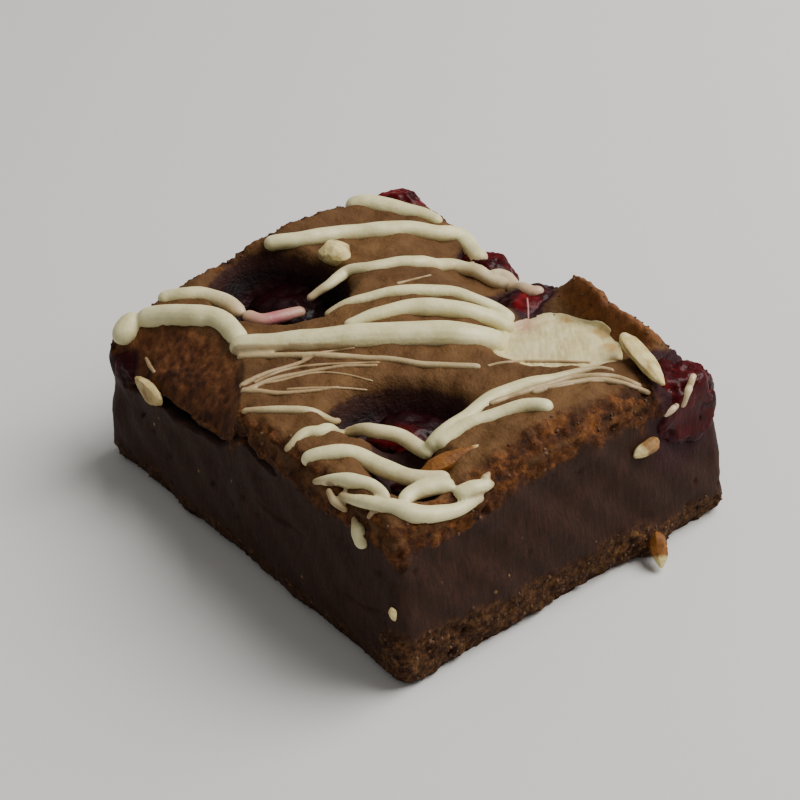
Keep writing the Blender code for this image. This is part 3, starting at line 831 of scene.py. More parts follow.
@dataclass
class CakeForm:
    """The square's own shape: crust, cut sides and flat base, as formulas."""

    base_x: float = 65.0
    base_y: float = 82.0
    rim_z: float = 28.0
    taper: float = 2.2
    corner_radii: dict[tuple[int, int], float] = field(
        default_factory=lambda: {(-1, -1): 2.5, (1, -1): 2.5, (-1, 1): 4.0, (1, 1): 6.5}
    )
    wall_levels: tuple[float, ...] = (0.0, 0.05, 0.15, 0.3, 0.45, 0.6, 0.72, 0.8, 0.88, 0.95, 1.0)
    wall_insets: tuple[float, ...] = (1.3, 0.5, 0.1, 0.0, 0.3, 0.8, 1.4, 1.3, 1.2, 1.5, 2.2)
    crest: float = 1.3
    crest_x: float = 29.2
    edge_round: float = 3.0
    edge_drop: float = 1.3
    crag: float = 0.13
    wall_crag: float = 0.28
    bay_x: float = -19.5
    bay_y: float = 20.0
    bay_curve: float = 0.028
    bay_foot_x: float = -31.5
    bay_fall: float = 7.0
    bay_fade_y: tuple[float, float] = (32.0, 38.0)
    spur_x: float = 16.5
    spur_half_width: float = 3.4
    spur_reach: float = 2.2
    spur_level: float = 0.16
    relief: dict[str, Mound] = field(
        default_factory=lambda: {
            "middle dome": Mound(5.0, 9.0, 17.0, 15.0, 0.0, 2.2, 1),
            "back dome": Mound(7.0, 37.0, 15.0, 6.0, 0.0, 2.6, 1),
            "front dome": Mound(1.0, -34.0, 13.0, 7.0, 0.0, 1.9, 1),
            "left pit": Mound(-5.2, 24.8, 9.4, 12.0, 12.0, -10.5, 4),
            "front pit": Mound(-12.0, -15.9, 10.2, 6.4, -36.0, -7.0, 3),
            "front pit arm": Mound(-19.5, -27.5, 5.2, 8.0, -14.0, -4.5, 2),
            "right hollow": Mound(27.0, 8.0, 9.5, 13.5, 0.0, -5.0, 2),
            "cherry hollow": Mound(22.0, -2.5, 6.5, 5.5, 0.0, -1.5, 2),
            "pool hollow": Mound(20.0, -17.2, 12.6, 9.0, -42.0, -3.8, 3),
            "right rim": Mound(30.5, -16.5, 3.2, 12.0, 0.0, 2.6, 2),
            "right corner slump": Mound(30.0, -38.0, 9.0, 9.0, 0.0, -2.6, 1),
            "left corner slump": Mound(-34.0, 42.0, 12.0, 12.0, 0.0, -5.4, 1),
            "back corner slump": Mound(35.0, 43.0, 9.0, 9.0, 0.0, -3.0, 1),
            "front corner slump": Mound(-33.0, -41.0, 7.0, 7.0, 0.0, -1.8, 1),
            "front edge dip": Mound(-18.0, -41.0, 6.0, 4.5, 0.0, -2.2, 1),
        }
    )

    def outline(self, u: np.ndarray, v: np.ndarray, inset: Any) -> tuple[np.ndarray, np.ndarray]:
        """Rounded outline in plan.

        Args:
            u: Places along X on the edge of the unit square.
            v: Places along Y on the edge of the unit square.
            inset: Distance in from the base's outline.

        Returns:
            The outline's x and y.
        """
        half_x = self.base_x / 2.0 - inset
        half_y = self.base_y / 2.0 - inset
        x = u * half_x
        y = v * half_y
        sign_x = np.where(u > 0.0, 1.0, -1.0)
        sign_y = np.where(v > 0.0, 1.0, -1.0)
        radius = np.zeros_like(x)
        for (corner_x, corner_y), size in self.corner_radii.items():
            radius = np.where((sign_x == corner_x) & (sign_y == corner_y), size, radius)
        radius = np.maximum(radius - inset * 0.5, 1.0)
        away_x = x - sign_x * (half_x - radius)
        away_y = y - sign_y * (half_y - radius)
        inside = (away_x * sign_x > 0.0) & (away_y * sign_y > 0.0)
        length = np.maximum(np.hypot(away_x, away_y), 1e-9)
        x = np.where(inside, x - away_x + away_x / length * radius, x)
        y = np.where(inside, y - away_y + away_y / length * radius, y)
        return x, y

    def bay_drop(self, x: np.ndarray, y: np.ndarray) -> np.ndarray:
        """Fall of the crust towards the left face.

        Args:
            x: Places along X in millimetres.
            y: Places along Y in millimetres.

        Returns:
            One fall for each place.
        """
        edge_x = self.bay_x - self.bay_curve * (y - self.bay_y) ** 2
        width = np.maximum(edge_x - self.bay_foot_x, 1.0)
        share = np.clip((edge_x - x) / width, 0.0, 1.0)
        return self.bay_fall * share * (1.0 - smooth(*self.bay_fade_y, y))

    def top_height(self, x: np.ndarray, y: np.ndarray, edge_distance: np.ndarray) -> np.ndarray:
        """Height of the crust at places in plan.

        Args:
            x: Places along X in millimetres.
            y: Places along Y in millimetres.
            edge_distance: Distances from the rim's outline.

        Returns:
            One height for each place.
        """
        height = self.rim_z - self.bay_drop(x, y)
        height = height + self.crest * np.exp(-(((x - self.crest_x) / 1.3) ** 2)) * (
            smooth(-31.0, -22.0, y) * smooth(-5.0, -10.0, y)
        )
        for mound in self.relief.values():
            height = height + mound.height(x, y)
        waves = np.sin(0.9 * x + 0.4 * y) + np.sin(1.1 * y - 0.7 * x + 2.0)
        share = np.clip(1.0 - edge_distance / self.edge_round, 0.0, 1.0)
        return height + self.crag * waves - self.edge_drop * share**2

    def top_points(self, u: np.ndarray, v: np.ndarray) -> tuple[np.ndarray, np.ndarray]:
        """Points of the crust and their distances from the rim's outline.

        Args:
            u: Places along X on the unit square.
            v: Places along Y on the unit square.

        Returns:
            The points, one a row, and their distances.
        """
        ring = np.maximum(np.maximum(np.abs(u), np.abs(v)), 1e-6)
        x, y = self.outline(u / ring, v / ring, self.taper)
        edge_distance = (1.0 - ring) * np.hypot(x, y)
        x = x * ring
        y = y * ring
        return np.stack((x, y, self.top_height(x, y, edge_distance)), axis=1), edge_distance

    def wall_points(self, u: np.ndarray, v: np.ndarray, level: float, rim_z: np.ndarray) -> np.ndarray:
        """Ring of points on the sides at a share of the rim's height.

        Args:
            u: Places along X on the unit square.
            v: Places along Y on the unit square.
            level: Share of the rim's height.
            rim_z: Heights of the rim above the ring.

        Returns:
            The ring's points, one a row.
        """
        inset = float(np.interp(level, self.wall_levels, self.wall_insets))
        x, y = self.outline(u, v, inset)
        z = rim_z * level
        if level == 0.0:
            return np.stack((x, y, z), axis=1)
        along = np.sin(0.31 * x + 0.24 * y + 0.35 * z + 1.0)
        fine = np.sin(0.83 * x - 0.61 * y + 0.72 * z)
        reach = self.wall_crag * (along + 0.6 * fine) / np.hypot(x, y)
        across = (x - self.spur_x) / self.spur_half_width
        fade = float(np.clip((self.spur_level * 1.6 - level) / self.spur_level, 0.0, 1.0))
        spur = np.where(y < -self.base_y / 4.0, self.spur_reach * np.exp(-across * across), 0.0) * fade
        return np.stack((x + x * reach, y + y * reach - spur, z), axis=1)


@dataclass
class Cake:
    """The cake in fine detail, with its crumbly edges, pores, cracks and stains."""

    form: CakeForm
    cells_x: int = 168
    cells_y: int = 212
    rings: int = 66
    cracks: tuple[Crack, ...] = (
        Crack((33.0, 20.9), (3.4, 20.9), 0.75, 4.2),
        Crack((-0.3, 23.4), (-11.0, 21.9), 0.55, 3.2),
        Crack((-2.0, 15.5), (-19.0, 14.0), 0.3, 0.5),
        Crack((-24.0, 9.5), (-38.0, 12.0), 0.3, 0.5),
    )
    left_face_x: float = -25.0
    right_face_y: float = -36.0
    flake_x: tuple[float, float] = (25.5, 27.5)
    flake_near_y: tuple[float, float] = (-31.0, -27.0)
    flake_far_y: tuple[float, float] = (-3.0, -7.0)
    bleed_centre: tuple[float, float] = (24.0, 18.5)
    bleed_halves: tuple[float, float] = (8.5, 7.5)
    wander_size: float = 5.0
    ragged_size: float = 1.6
    lump_size: float = 6.0
    wrinkle_size: float = 1.8
    crumb_size: float = 1.1
    smear_size: float = 0.7
    pore_spacing: float = 3.0
    rim_heights: np.ndarray = field(default_factory=lambda: np.zeros(0))

    def build(self, material: bpy.types.Material) -> bpy.types.Object:
        """Make the cake's piece.

        Args:
            material: Material of the whole cake.

        Returns:
            The cake's object.
        """
        points, faces, edge_distance, top_count = self.plain_shape()
        piece = make_piece("cake", points, faces, material)
        normals = mesh_normals(piece.data)
        zones = self.zones(points, edge_distance, top_count)
        moved = points + normals * self.relief(points, zones, top_count)[:, None]
        moved[:, 0] += zones["crack"]
        moved[:, 2] = np.maximum(moved[:, 2], 0.0)
        moved[points[:, 2] <= 1e-6, 2] = 0.0
        keep_numbers(piece.data, zones)
        move_points(piece.data, moved)
        return piece

    def plain_shape(self) -> tuple[np.ndarray, list[tuple[int, ...]], np.ndarray, int]:
        """Points and faces before the fine relief, edge distances and how many lie on top.

        Returns:
            Points, faces, distances from the rim and the number of points on top.
        """
        lines_u = np.linspace(-1.0, 1.0, self.cells_x + 1)
        lines_v = np.linspace(-1.0, 1.0, self.cells_y + 1)
        lines_u = lines_u * (1.1 - 0.1 * lines_u**2)
        lines_v = lines_v * (1.1 - 0.1 * lines_v**2)
        u, v = [axis.ravel() for axis in np.meshgrid(lines_u, lines_v, indexing="ij")]
        top, distance = self.form.top_points(u, v)
        columns = self.cells_y + 1
        faces: list[tuple[int, ...]] = []
        for i in range(self.cells_x):
            for j in range(self.cells_y):
                low = i * columns + j
                faces.append((low, low + columns, low + columns + 1, low + 1))
        last_u = self.cells_x
        last_v = self.cells_y
        border = [i * columns for i in range(last_u)]
        border += [last_u * columns + j for j in range(last_v)]
        border += [i * columns + last_v for i in range(last_u, 0, -1)]
        border += list(range(last_v, 0, -1))
        rings = [top]
        above = np.array(border)
        count = len(border)
        first = len(top)
        for step in range(self.rings - 1, -1, -1):
            level = step / self.rings
            ring = self.form.wall_points(u[border], v[border], level, top[border, 2])
            rings.append(ring)
            below = np.arange(first, first + count)
            first += count
            for index in range(count):
                after = (index + 1) % count
                faces.append((below[index], below[after], above[after], above[index]))
            above = below
        rings.append(np.array([[0.0, 0.0, 0.0]]))
        for index in range(count):
            faces.append((first, above[(index + 1) % count], above[index]))
        points = np.concatenate(rings)
        edge_distance = np.zeros(len(points))
        edge_distance[: len(top)] = distance
        self.rim_heights = np.concatenate((top[:, 2], np.tile(top[border, 2], self.rings), [1.0]))
        return points, faces, edge_distance, len(top)

    def zones(
        self, points: np.ndarray, edge_distance: np.ndarray, top_count: int
    ) -> dict[str, np.ndarray]:
        """How far each point belongs to each part of the look.

        Args:
            points: Places before the fine relief.
            edge_distance: Distances of the top's points from the rim.
            top_count: How many of the points lie on top.

        Returns:
            One value for each point by the name of the part, such as crust, foot or crack.
        """
        x, y, z = points.T
        on_top = np.arange(len(points)) < top_count
        below = np.where(on_top, 0.0, self.rim_heights - z)
        wander = grain(points, self.wander_size, 3, 3.0)
        ragged = grain(points, self.ragged_size, 3, 5.0)
        left = smooth(-26.0, -31.0, x)
        crust_depth = 0.6 + 1.2 * wander + ragged + left * smooth(5.0, -20.0, y)
        near_right = smooth(-30.0, -34.0, y) * smooth(-30.0, -20.0, x)
        crust = smooth(0.6, 3.2, edge_distance + 1.3 * ragged + 0.6 - 1.6 * near_right) * on_top
        crust = np.maximum(crust, 0.75 * smooth(crust_depth + 0.5, crust_depth - 1.0, below) * ~on_top)
        bay_side = left * smooth(0.0, 5.0, y)
        edge_depth = (3.0 + left * 0.8) * (1.0 - 0.6 * bay_side) + 1.6 * wander + ragged
        edge = np.where(on_top, 1.0, smooth(edge_depth + 0.8, edge_depth - 0.8, below))
        band = np.interp(x, (-32.0, 26.0, 32.0), (9.0, 4.6, 3.0))
        band = np.where(y < self.right_face_y, band, 4.0) + 1.2 * wander + 0.9 * ragged
        foot = np.where(on_top, 0.0, smooth(band + 1.0, band - 1.0, z))
        foot = foot * np.where(y < self.right_face_y, 1.0, 0.55)
        fall = self.form.bay_drop(x, y)
        torn = smooth(0.3, 1.6, fall + 0.8 * ragged) * on_top
        crust = crust * (1.0 - torn)
        # How deep each point lies in the pits, which paints shade there
        sunk = np.zeros(len(points))
        for name in ("left pit", "front pit", "front pit arm"):
            sunk = sunk - self.form.relief[name].height(x, y)
        sunk = sunk + 0.5 * ragged
        pit = (smooth(1.0, 2.2, sunk) * 0.5 + smooth(2.6, 5.5, sunk) * 0.5) * on_top
        flake = smooth(*self.flake_x, x) * smooth(*self.flake_near_y, y) * smooth(*self.flake_far_y, y)
        flake = flake * np.where(on_top, 1.0, smooth(4.5, 3.0, below))
        crust = crust * (1.0 - flake)
        juice = np.zeros(len(points))
        for cherry in CHERRIES.values():
            juice = np.maximum(juice, smooth(1.28, 1.02, cherry.reach(points) + 0.12 * ragged))
        # Depth of the cracks, which cuts them and paints shade inside them
        crack = np.zeros(len(points))
        for item in self.cracks:
            groove = item.groove(y, z, self.rim_heights)
            crack = np.maximum(crack, groove * ~on_top * (x < self.left_face_x))
        juice = np.maximum(juice, self.bleed(points, ragged))
        return {
            "crust": crust,
            "edge": edge,
            "foot": foot,
            "pit": pit,
            "juice": juice,
            "crack": crack,
            "torn": torn,
            # Share of the bay's fall, which paints shade low in the bay
            "low": np.where(on_top, fall / self.form.bay_fall, 0.0),
            "flake": flake,
        }

    def bleed(self, points: np.ndarray, ragged: np.ndarray) -> np.ndarray:
        """Juice that ran down the right face under the corner cherry.

        Args:
            points: Places in millimetres, one a row.
            ragged: Fine noise at the points.

        Returns:
            One share for each point.
        """
        x, y, z = points.T
        across = np.abs(x - self.bleed_centre[0]) / self.bleed_halves[0]
        down = np.abs(z - self.bleed_centre[1]) / self.bleed_halves[1]
        return smooth(1.15, 0.55, np.hypot(across, down) + 0.25 * ragged) * (y < -37.0) * 0.75

    def relief(self, points: np.ndarray, zones: dict[str, np.ndarray], top_count: int) -> np.ndarray:
        """Fine heights over the plain shape.

        Args:
            points: Places in millimetres, one a row.
            zones: How far each point belongs to each part of the look.
            top_count: How many of the points lie on top.

        Returns:
            One height for each point.
        """
        on_top = np.arange(len(points)) < top_count
        lumps = grain(points, self.lump_size, 3, 1.0)
        wrinkles = grain(points, self.wrinkle_size, 4, 2.0)
        crumbs = grain(points, self.crumb_size, 3, 4.0)
        smear = grain(points * np.array([1.0, 1.0, 0.12]), self.smear_size, 2, 6.0)
        covered = zones["crust"] * 0.8 + zones["flake"] * 0.75
        rough = np.clip(zones["edge"] + zones["foot"] * 0.8 - covered, 0.0, 1.0)
        height = 0.16 * lumps + np.where(on_top, 0.07, 0.05) * wrinkles
        rough = rough * (1.0 - 0.45 * zones["torn"])
        height = height + rough * (0.46 * crumbs + 0.3 * wrinkles)
        height = height + np.where(on_top, 0.0, 0.03) * smear * (1.0 - rough)
        height = height + zones["flake"] * 0.15 * wrinkles
        return height - self.pores(points, zones)

    def pores(self, points: np.ndarray, zones: dict[str, np.ndarray]) -> np.ndarray:
        """Depth of the small holes.

        Args:
            points: Places in millimetres, one a row.
            zones: How far each point belongs to each part of the look.

        Returns:
            One depth for each point.
        """
        depth = np.zeros(len(points))
        crumbly = np.clip(zones["edge"] + zones["foot"] * 0.7, 0.0, 1.0)
        open_side = (zones["crust"] < 0.6) & (zones["torn"] < 0.5)
        for index in np.flatnonzero(open_side):
            place = Vector(points[index]) / self.pore_spacing
            distances, centres = noise.voronoi(place)
            chance = noise.cell(centres[0] * 7.3)
            if chance > 0.3 - 0.5 * crumbly[index]:
                width = 0.17 + 0.18 * crumbly[index]
                deep = 0.8 + 0.6 * crumbly[index]
                depth[index] = deep * max(0.0, 1.0 - distances[0] / width) ** 0.5 * abs(chance)
        return depth * (1.0 - zones["crust"])


def search_tree(pieces: Sequence[bpy.types.Object]) -> BVHTree:
    """Search tree over some pieces in millimetres.

    Args:
        pieces: Objects to search.

    Returns:
        The search tree.
    """
    points: list[Point] = []
    faces: list[list[int]] = []
    for piece in pieces:
        first = len(points)
        points.extend(map(tuple, mesh_points(piece.data)))
        faces.extend([first + vertex for vertex in face.vertices] for face in piece.data.polygons)
    return BVHTree.FromPolygons(points, faces)


@dataclass(frozen=True)
class Strand:
    """One drizzle strand, drawn on the rim's plane as the eye sees it."""

    radii: Point
    passes: tuple[tuple[float, ...], ...]
    pink: Point = (0.0, 0.0, 0.0)


STRANDS: dict[str, Strand] = {
    "back edge": Strand(
        (1.7, 1.6, 0.8),
        (
            (20.1, 40.5, 28.6), (23.4, 37.5, 28.8), (25.7, 33.4, 28.6), (27.6, 28.1, 28.0),
            (28.0, 23.4, 27.4),
        ),
    ),
    "behind almond": Strand(
        (1.3, 1.6, 1.2),
        (
            (1.3, 38.4), (7.6, 35.4), (14.0, 32.0), (18.6, 29.0), (22.4, 25.8), (25.2, 21.0),
            (26.9, 16.4), (27.4, 12.0),
        ),
    ),
    "over dome": Strand(
        (0.6, 1.25, 1.15),
        (
            (-4.0, 18.4, 27.4), (-1.2, 19.5, 28.4), (2.2, 20.6, 29.4), (5.6, 20.9), (9.8, 19.8),
            (13.8, 17.6), (17.1, 14.8), (19.6, 11.4), (21.1, 7.4), (21.8, 3.8), (22.2, 0.9),
            (23.6, -1.6),
        ),
        (0.1, 0.0, 0.3),
    ),
    "film on cherry": Strand(
        (1.0, 1.15, 0.9), ((21.9, 3.8), (23.6, 1.0), (25.8, -1.6), (27.6, -3.6)), (0.25, 0.4, 0.55)
    ),
    "dome thin": Strand(
        (0.6, 1.05, 0.9),
        (
            (-5.4, 11.6, 27.6), (-2.2, 12.3, 28.6), (1.8, 12.5, 29.6), (6.3, 11.7), (10.3, 9.0),
            (14.5, 4.4), (15.9, -0.3), (16.5, -5.8), (15.7, -9.9),
        ),
    ),
    "dome thick": Strand(
        (0.8, 1.65, 1.4),
        (
            (-4.1, 8.3), (1.6, 7.6), (7.2, 5.1), (11.2, 0.4), (13.4, -3.2), (14.4, -8.3),
            (13.8, -12.1),
        ),
    ),
    "broad band": Strand(
        (1.7, 2.25, 2.3),
        (
            (-20.9, 15.7), (-16.5, 13.2), (-12.9, 10.6), (-7.5, 6.6), (-2.1, 2.3), (4.6, -3.0),
            (8.1, -6.9), (9.8, -10.4), (10.4, -14.2),
        ),
    ),
    "under band": Strand(
        (0.6, 0.6, 0.6), ((-22.0, 12.2), (-13.4, 5.0), (-5.2, -4.2), (-2.2, -9.5), (3.9, -16.2))
    ),
    "fan upper": Strand((0.6, 0.45, 0.4), ((-26.7, 4.5), (-21.6, 5.4), (-12.7, 4.3))),
    "fan middle": Strand((0.55, 0.42, 0.35), ((-26.4, 3.6), (-20.8, 3.2), (-13.6, -0.3), (-7.2, -4.9))),
    "fan lower": Strand((0.6, 0.45, 0.35), ((-27.0, 3.8), (-23.3, -0.4), (-18.5, -3.8), (-15.2, -5.7))),
    "left of front pit": Strand(
        (0.6, 0.7, 0.6), ((-30.0, -0.9), (-25.7, -3.9), (-21.4, -9.4), (-20.3, -12.7))
    ),
    "front short": Strand(
        (0.6, 0.95, 0.6), ((-31.2, -13.9), (-28.9, -12.5), (-25.8, -11.8), (-23.4, -13.0), (-22.0, -15.4))
    ),
    "front long": Strand(
        (1.1, 1.3, 1.1),
        (
            (-30.7, -17.4), (-27.3, -17.2), (-24.5, -19.5), (-23.4, -22.7, 27.2), (-22.7, -26.5, 27.0),
            (-21.4, -30.7, 27.0), (-19.2, -33.2, 27.2), (-17.0, -34.5),
        ),
        (0.0, 0.0, 0.2),
    ),
    "over cherry": Strand(
        (0.9, 1.0, 1.0),
        (
            (-21.4, -15.9), (-18.4, -17.4, 27.2), (-16.1, -22.4, 26.6), (-15.4, -28.6),
        ),
        (0.3, 0.12, 0.1),
    ),
    "right sweep": Strand(
        (1.2, 1.0, 0.45),
        (
            (-16.0, -28.3), (-9.8, -25.5), (0.6, -23.6), (10.2, -26.3), (16.2, -28.2), (17.8, -31.0),
        ),
    ),
    "right branch": Strand((0.6, 0.6, 0.5), ((4.8, -26.6), (13.6, -30.3), (17.0, -35.0), (17.6, -39.1))),
    "right blunt": Strand((1.1, 1.0, 1.1), ((-14.5, -28.2), (-6.5, -26.2), (1.6, -28.3), (4.8, -31.7))),
    "front curl": Strand(
        (0.5, 1.05, 0.7),
        (
            (-32.6, -22.8), (-30.6, -23.4), (-28.1, -25.8), (-26.7, -28.2), (-26.7, -30.9),
            (-27.2, -33.0),
        ),
    ),
    "front corner": Strand(
        (0.55, 1.35, 0.6),
        (
            (-31.0, -26.9), (-30.5, -29.7), (-29.0, -32.1), (-27.4, -34.5), (-26.6, -37.0),
            (-25.3, -39.4), (-22.6, -40.9), (-19.9, -41.6), (-16.8, -41.6),
        ),
    ),
    "corner bridge": Strand(
        (0.75, 1.3, 1.15),
        (
            (-26.2, -35.0, 27.2), (-23.5, -33.8, 27.4), (-20.4, -34.6, 27.2), (-17.6, -36.2),
        ),
    ),
    "corner spur": Strand((0.9, 1.1, 0.55), ((-19.6, -38.4), (-16.5, -39.0), (-13.4, -39.9))),
    "spur tip": Strand((0.8, 0.55, 0.3), ((-14.6, -39.0), (-13.3, -38.2), (-12.0, -37.3))),
    "left corner": Strand(
        (1.8, 1.9, 1.4),
        (
            (-26.8, 33.8, 25.6), (-24.0, 31.5), (-21.4, 29.5), (-19.1, 27.0), (-17.9, 24.8),
            (-17.5, 21.9), (-18.6, 15.9),
        ),
    ),
    "left corner inner": Strand(
        (1.1, 1.35, 1.1),
        (
            (-21.7, 35.7, 26.6), (-19.6, 35.4, 27.0), (-17.1, 34.3), (-15.2, 32.5),
            (-14.0, 29.5, 27.4), (-13.6, 26.6, 27.2), (-14.0, 22.6, 26.9),
        ),
        (0.0, 0.05, 0.35),
    ),
    "pit bridge": Strand(
        (1.1, 1.0, 0.8),
        (
            (-13.8, 22.4, 26.8), (-12.9, 18.9, 26.3), (-10.1, 17.6, 26.1), (-7.5, 16.9, 26.0),
            (-5.9, 16.3, 25.8),
        ),
        (0.5, 1.0, 0.6),
    ),
}

THREADS: dict[str, Strand] = {
    "dome hair": Strand((0.3, 0.26, 0.18), ((9.5, 12.2), (12.1, 11.4), (15.4, 10.4))),
    "band hair": Strand((0.25, 0.25, 0.2), ((-12.7, 4.5), (-10.0, 3.1), (-7.0, 1.4))),
    "fan second": Strand(
        (0.3, 0.28, 0.2), ((-24.3, 4.3), (-19.1, 4.0), (-14.6, 1.8), (-9.9, -1.9), (-6.7, -4.6))
    ),
    "fan third": Strand(
        (0.28, 0.22, 0.16), ((-24.4, 3.7), (-21.2, 2.1), (-15.9, 0.1), (-12.8, -3.2), (-10.6, -8.0))
    ),
    "fan last": Strand((0.3, 0.24, 0.16), ((-21.7, -0.7), (-18.3, -3.3), (-15.1, -6.3), (-12.7, -9.3))),
    "sweep second": Strand(
        (0.55, 0.6, 0.5),
        (
            (-1.9, -24.8), (3.7, -26.0), (9.7, -27.4), (12.1, -28.3), (16.4, -32.0), (17.7, -37.0),
        ),
    ),
    "sweep third": Strand(
        (0.3, 0.34, 0.3), ((7.1, -27.7), (12.0, -30.0), (15.1, -32.5), (16.7, -35.8), (17.1, -37.9))
    ),
    "pool hair": Strand((0.3, 0.32, 0.25), ((4.6, -16.8), (7.5, -18.1), (12.1, -22.1), (16.7, -26.9))),
    "cherry line": Strand(
        (0.15, 0.18, 0.15), ((22.0, -6.0), (20.1, -8.4), (18.0, -10.9)), (0.9, 0.9, 0.9)
    ),
    "corner bit": Strand((0.5, 0.6, 0.5), ((25.7, -39.9), (22.0, -42.4), (18.3, -44.9)), (0.3, 0.3, 0.3)),
    "corner bit low": Strand(
        (0.45, 0.55, 0.4), ((18.5, -43.9), (16.6, -44.4), (14.8, -44.7)), (0.4, 0.4, 0.4)
    ),
    "corner curl": Strand((0.4, 0.5, 0.4), ((-31.8, -34.7), (-30.2, -34.0), (-29.0, -34.7))),
    "left drip": Strand((0.3, 0.4, 0.3), ((-32.5, 22.2), (-33.3, 19.8), (-33.9, 17.3))),
}

DRIPS: dict[str, Strand] = {
    "left corner end": Strand(
        (1.7, 1.95, 1.7),
        (
            (-29.8, 34.8, 23.2), (-28.9, 35.8, 24.1), (-27.2, 36.7, 24.9), (-25.7, 36.9, 25.5),
            (-24.9, 36.9, 25.8),
        ),
    ),
    "front drip": Strand(
        (0.45, 0.95, 0.8), ((-30.8, -29.6, 25.0), (-31.2, -31.4, 22.6), (-31.4, -32.4, 21.0))
    ),
    "front loop": Strand(
        (0.5, 0.6, 0.5), ((-31.0, -24.0, 26.9), (-31.4, -26.0, 25.9), (-31.1, -28.6, 25.4))
    ),
}


@dataclass
class StrandTree:
    """Geometry Nodes tree that lays a rounded strand along every line of a mesh."""

    sides: int = 14
    flatness: float = 0.85
    unevenness: float = 0.06
    lump_size: float = 2.5

    def build(self, material: bpy.types.Material) -> bpy.types.NodeTree:
        """Make the tree, which ends in Realize Instances and Set Material.

        Args:
            material: Material of the whole piece.

        Returns:
            The finished tree.
        """
        kit = ShapeKit("strands", ("Flatness", "Unevenness", "Lump Size"), "Sides")
        given = kit.given
        curve = kit.step("GeometryNodeMeshToCurve", {"Mesh": given["Geometry"]})
        upright = kit.node("GeometryNodeSetCurveNormal", {"mode": "Z_UP"}, {"Curve": curve})
        circle = kit.step("GeometryNodeCurvePrimitiveCircle", {"Resolution": given["Sides"]})
        squash = kit.step("ShaderNodeCombineXYZ", {"X": 1.0, "Y": given["Flatness"], "Z": 1.0})
        tube = kit.step(
            "GeometryNodeCurveToMesh",
            {
                "Curve": upright.outputs[0],
                "Profile Curve": kit.step("GeometryNodeTransform", {"Geometry": circle, "Scale": squash}),
                "Scale": kit.kept("radius"),
                "Fill Caps": True,
            },
        )
        count = kit.math("DIVIDE", 1.0, given["Lump Size"])
        uneven = kit.uneven(tube, count, given["Unevenness"])
        return kit.close(kit.step("GeometryNodeRealizeInstances", {"Geometry": uneven}), material)

    def apply(self, piece: bpy.types.Object, material: bpy.types.Material) -> None:
        """Turn a piece's lines into strands and bake them."""
        values = {
            "Flatness": self.flatness,
            "Unevenness": self.unevenness * MM,
            "Lump Size": self.lump_size * MM,
            "Sides": self.sides,
        }
        grow(piece, self.build(material), values)


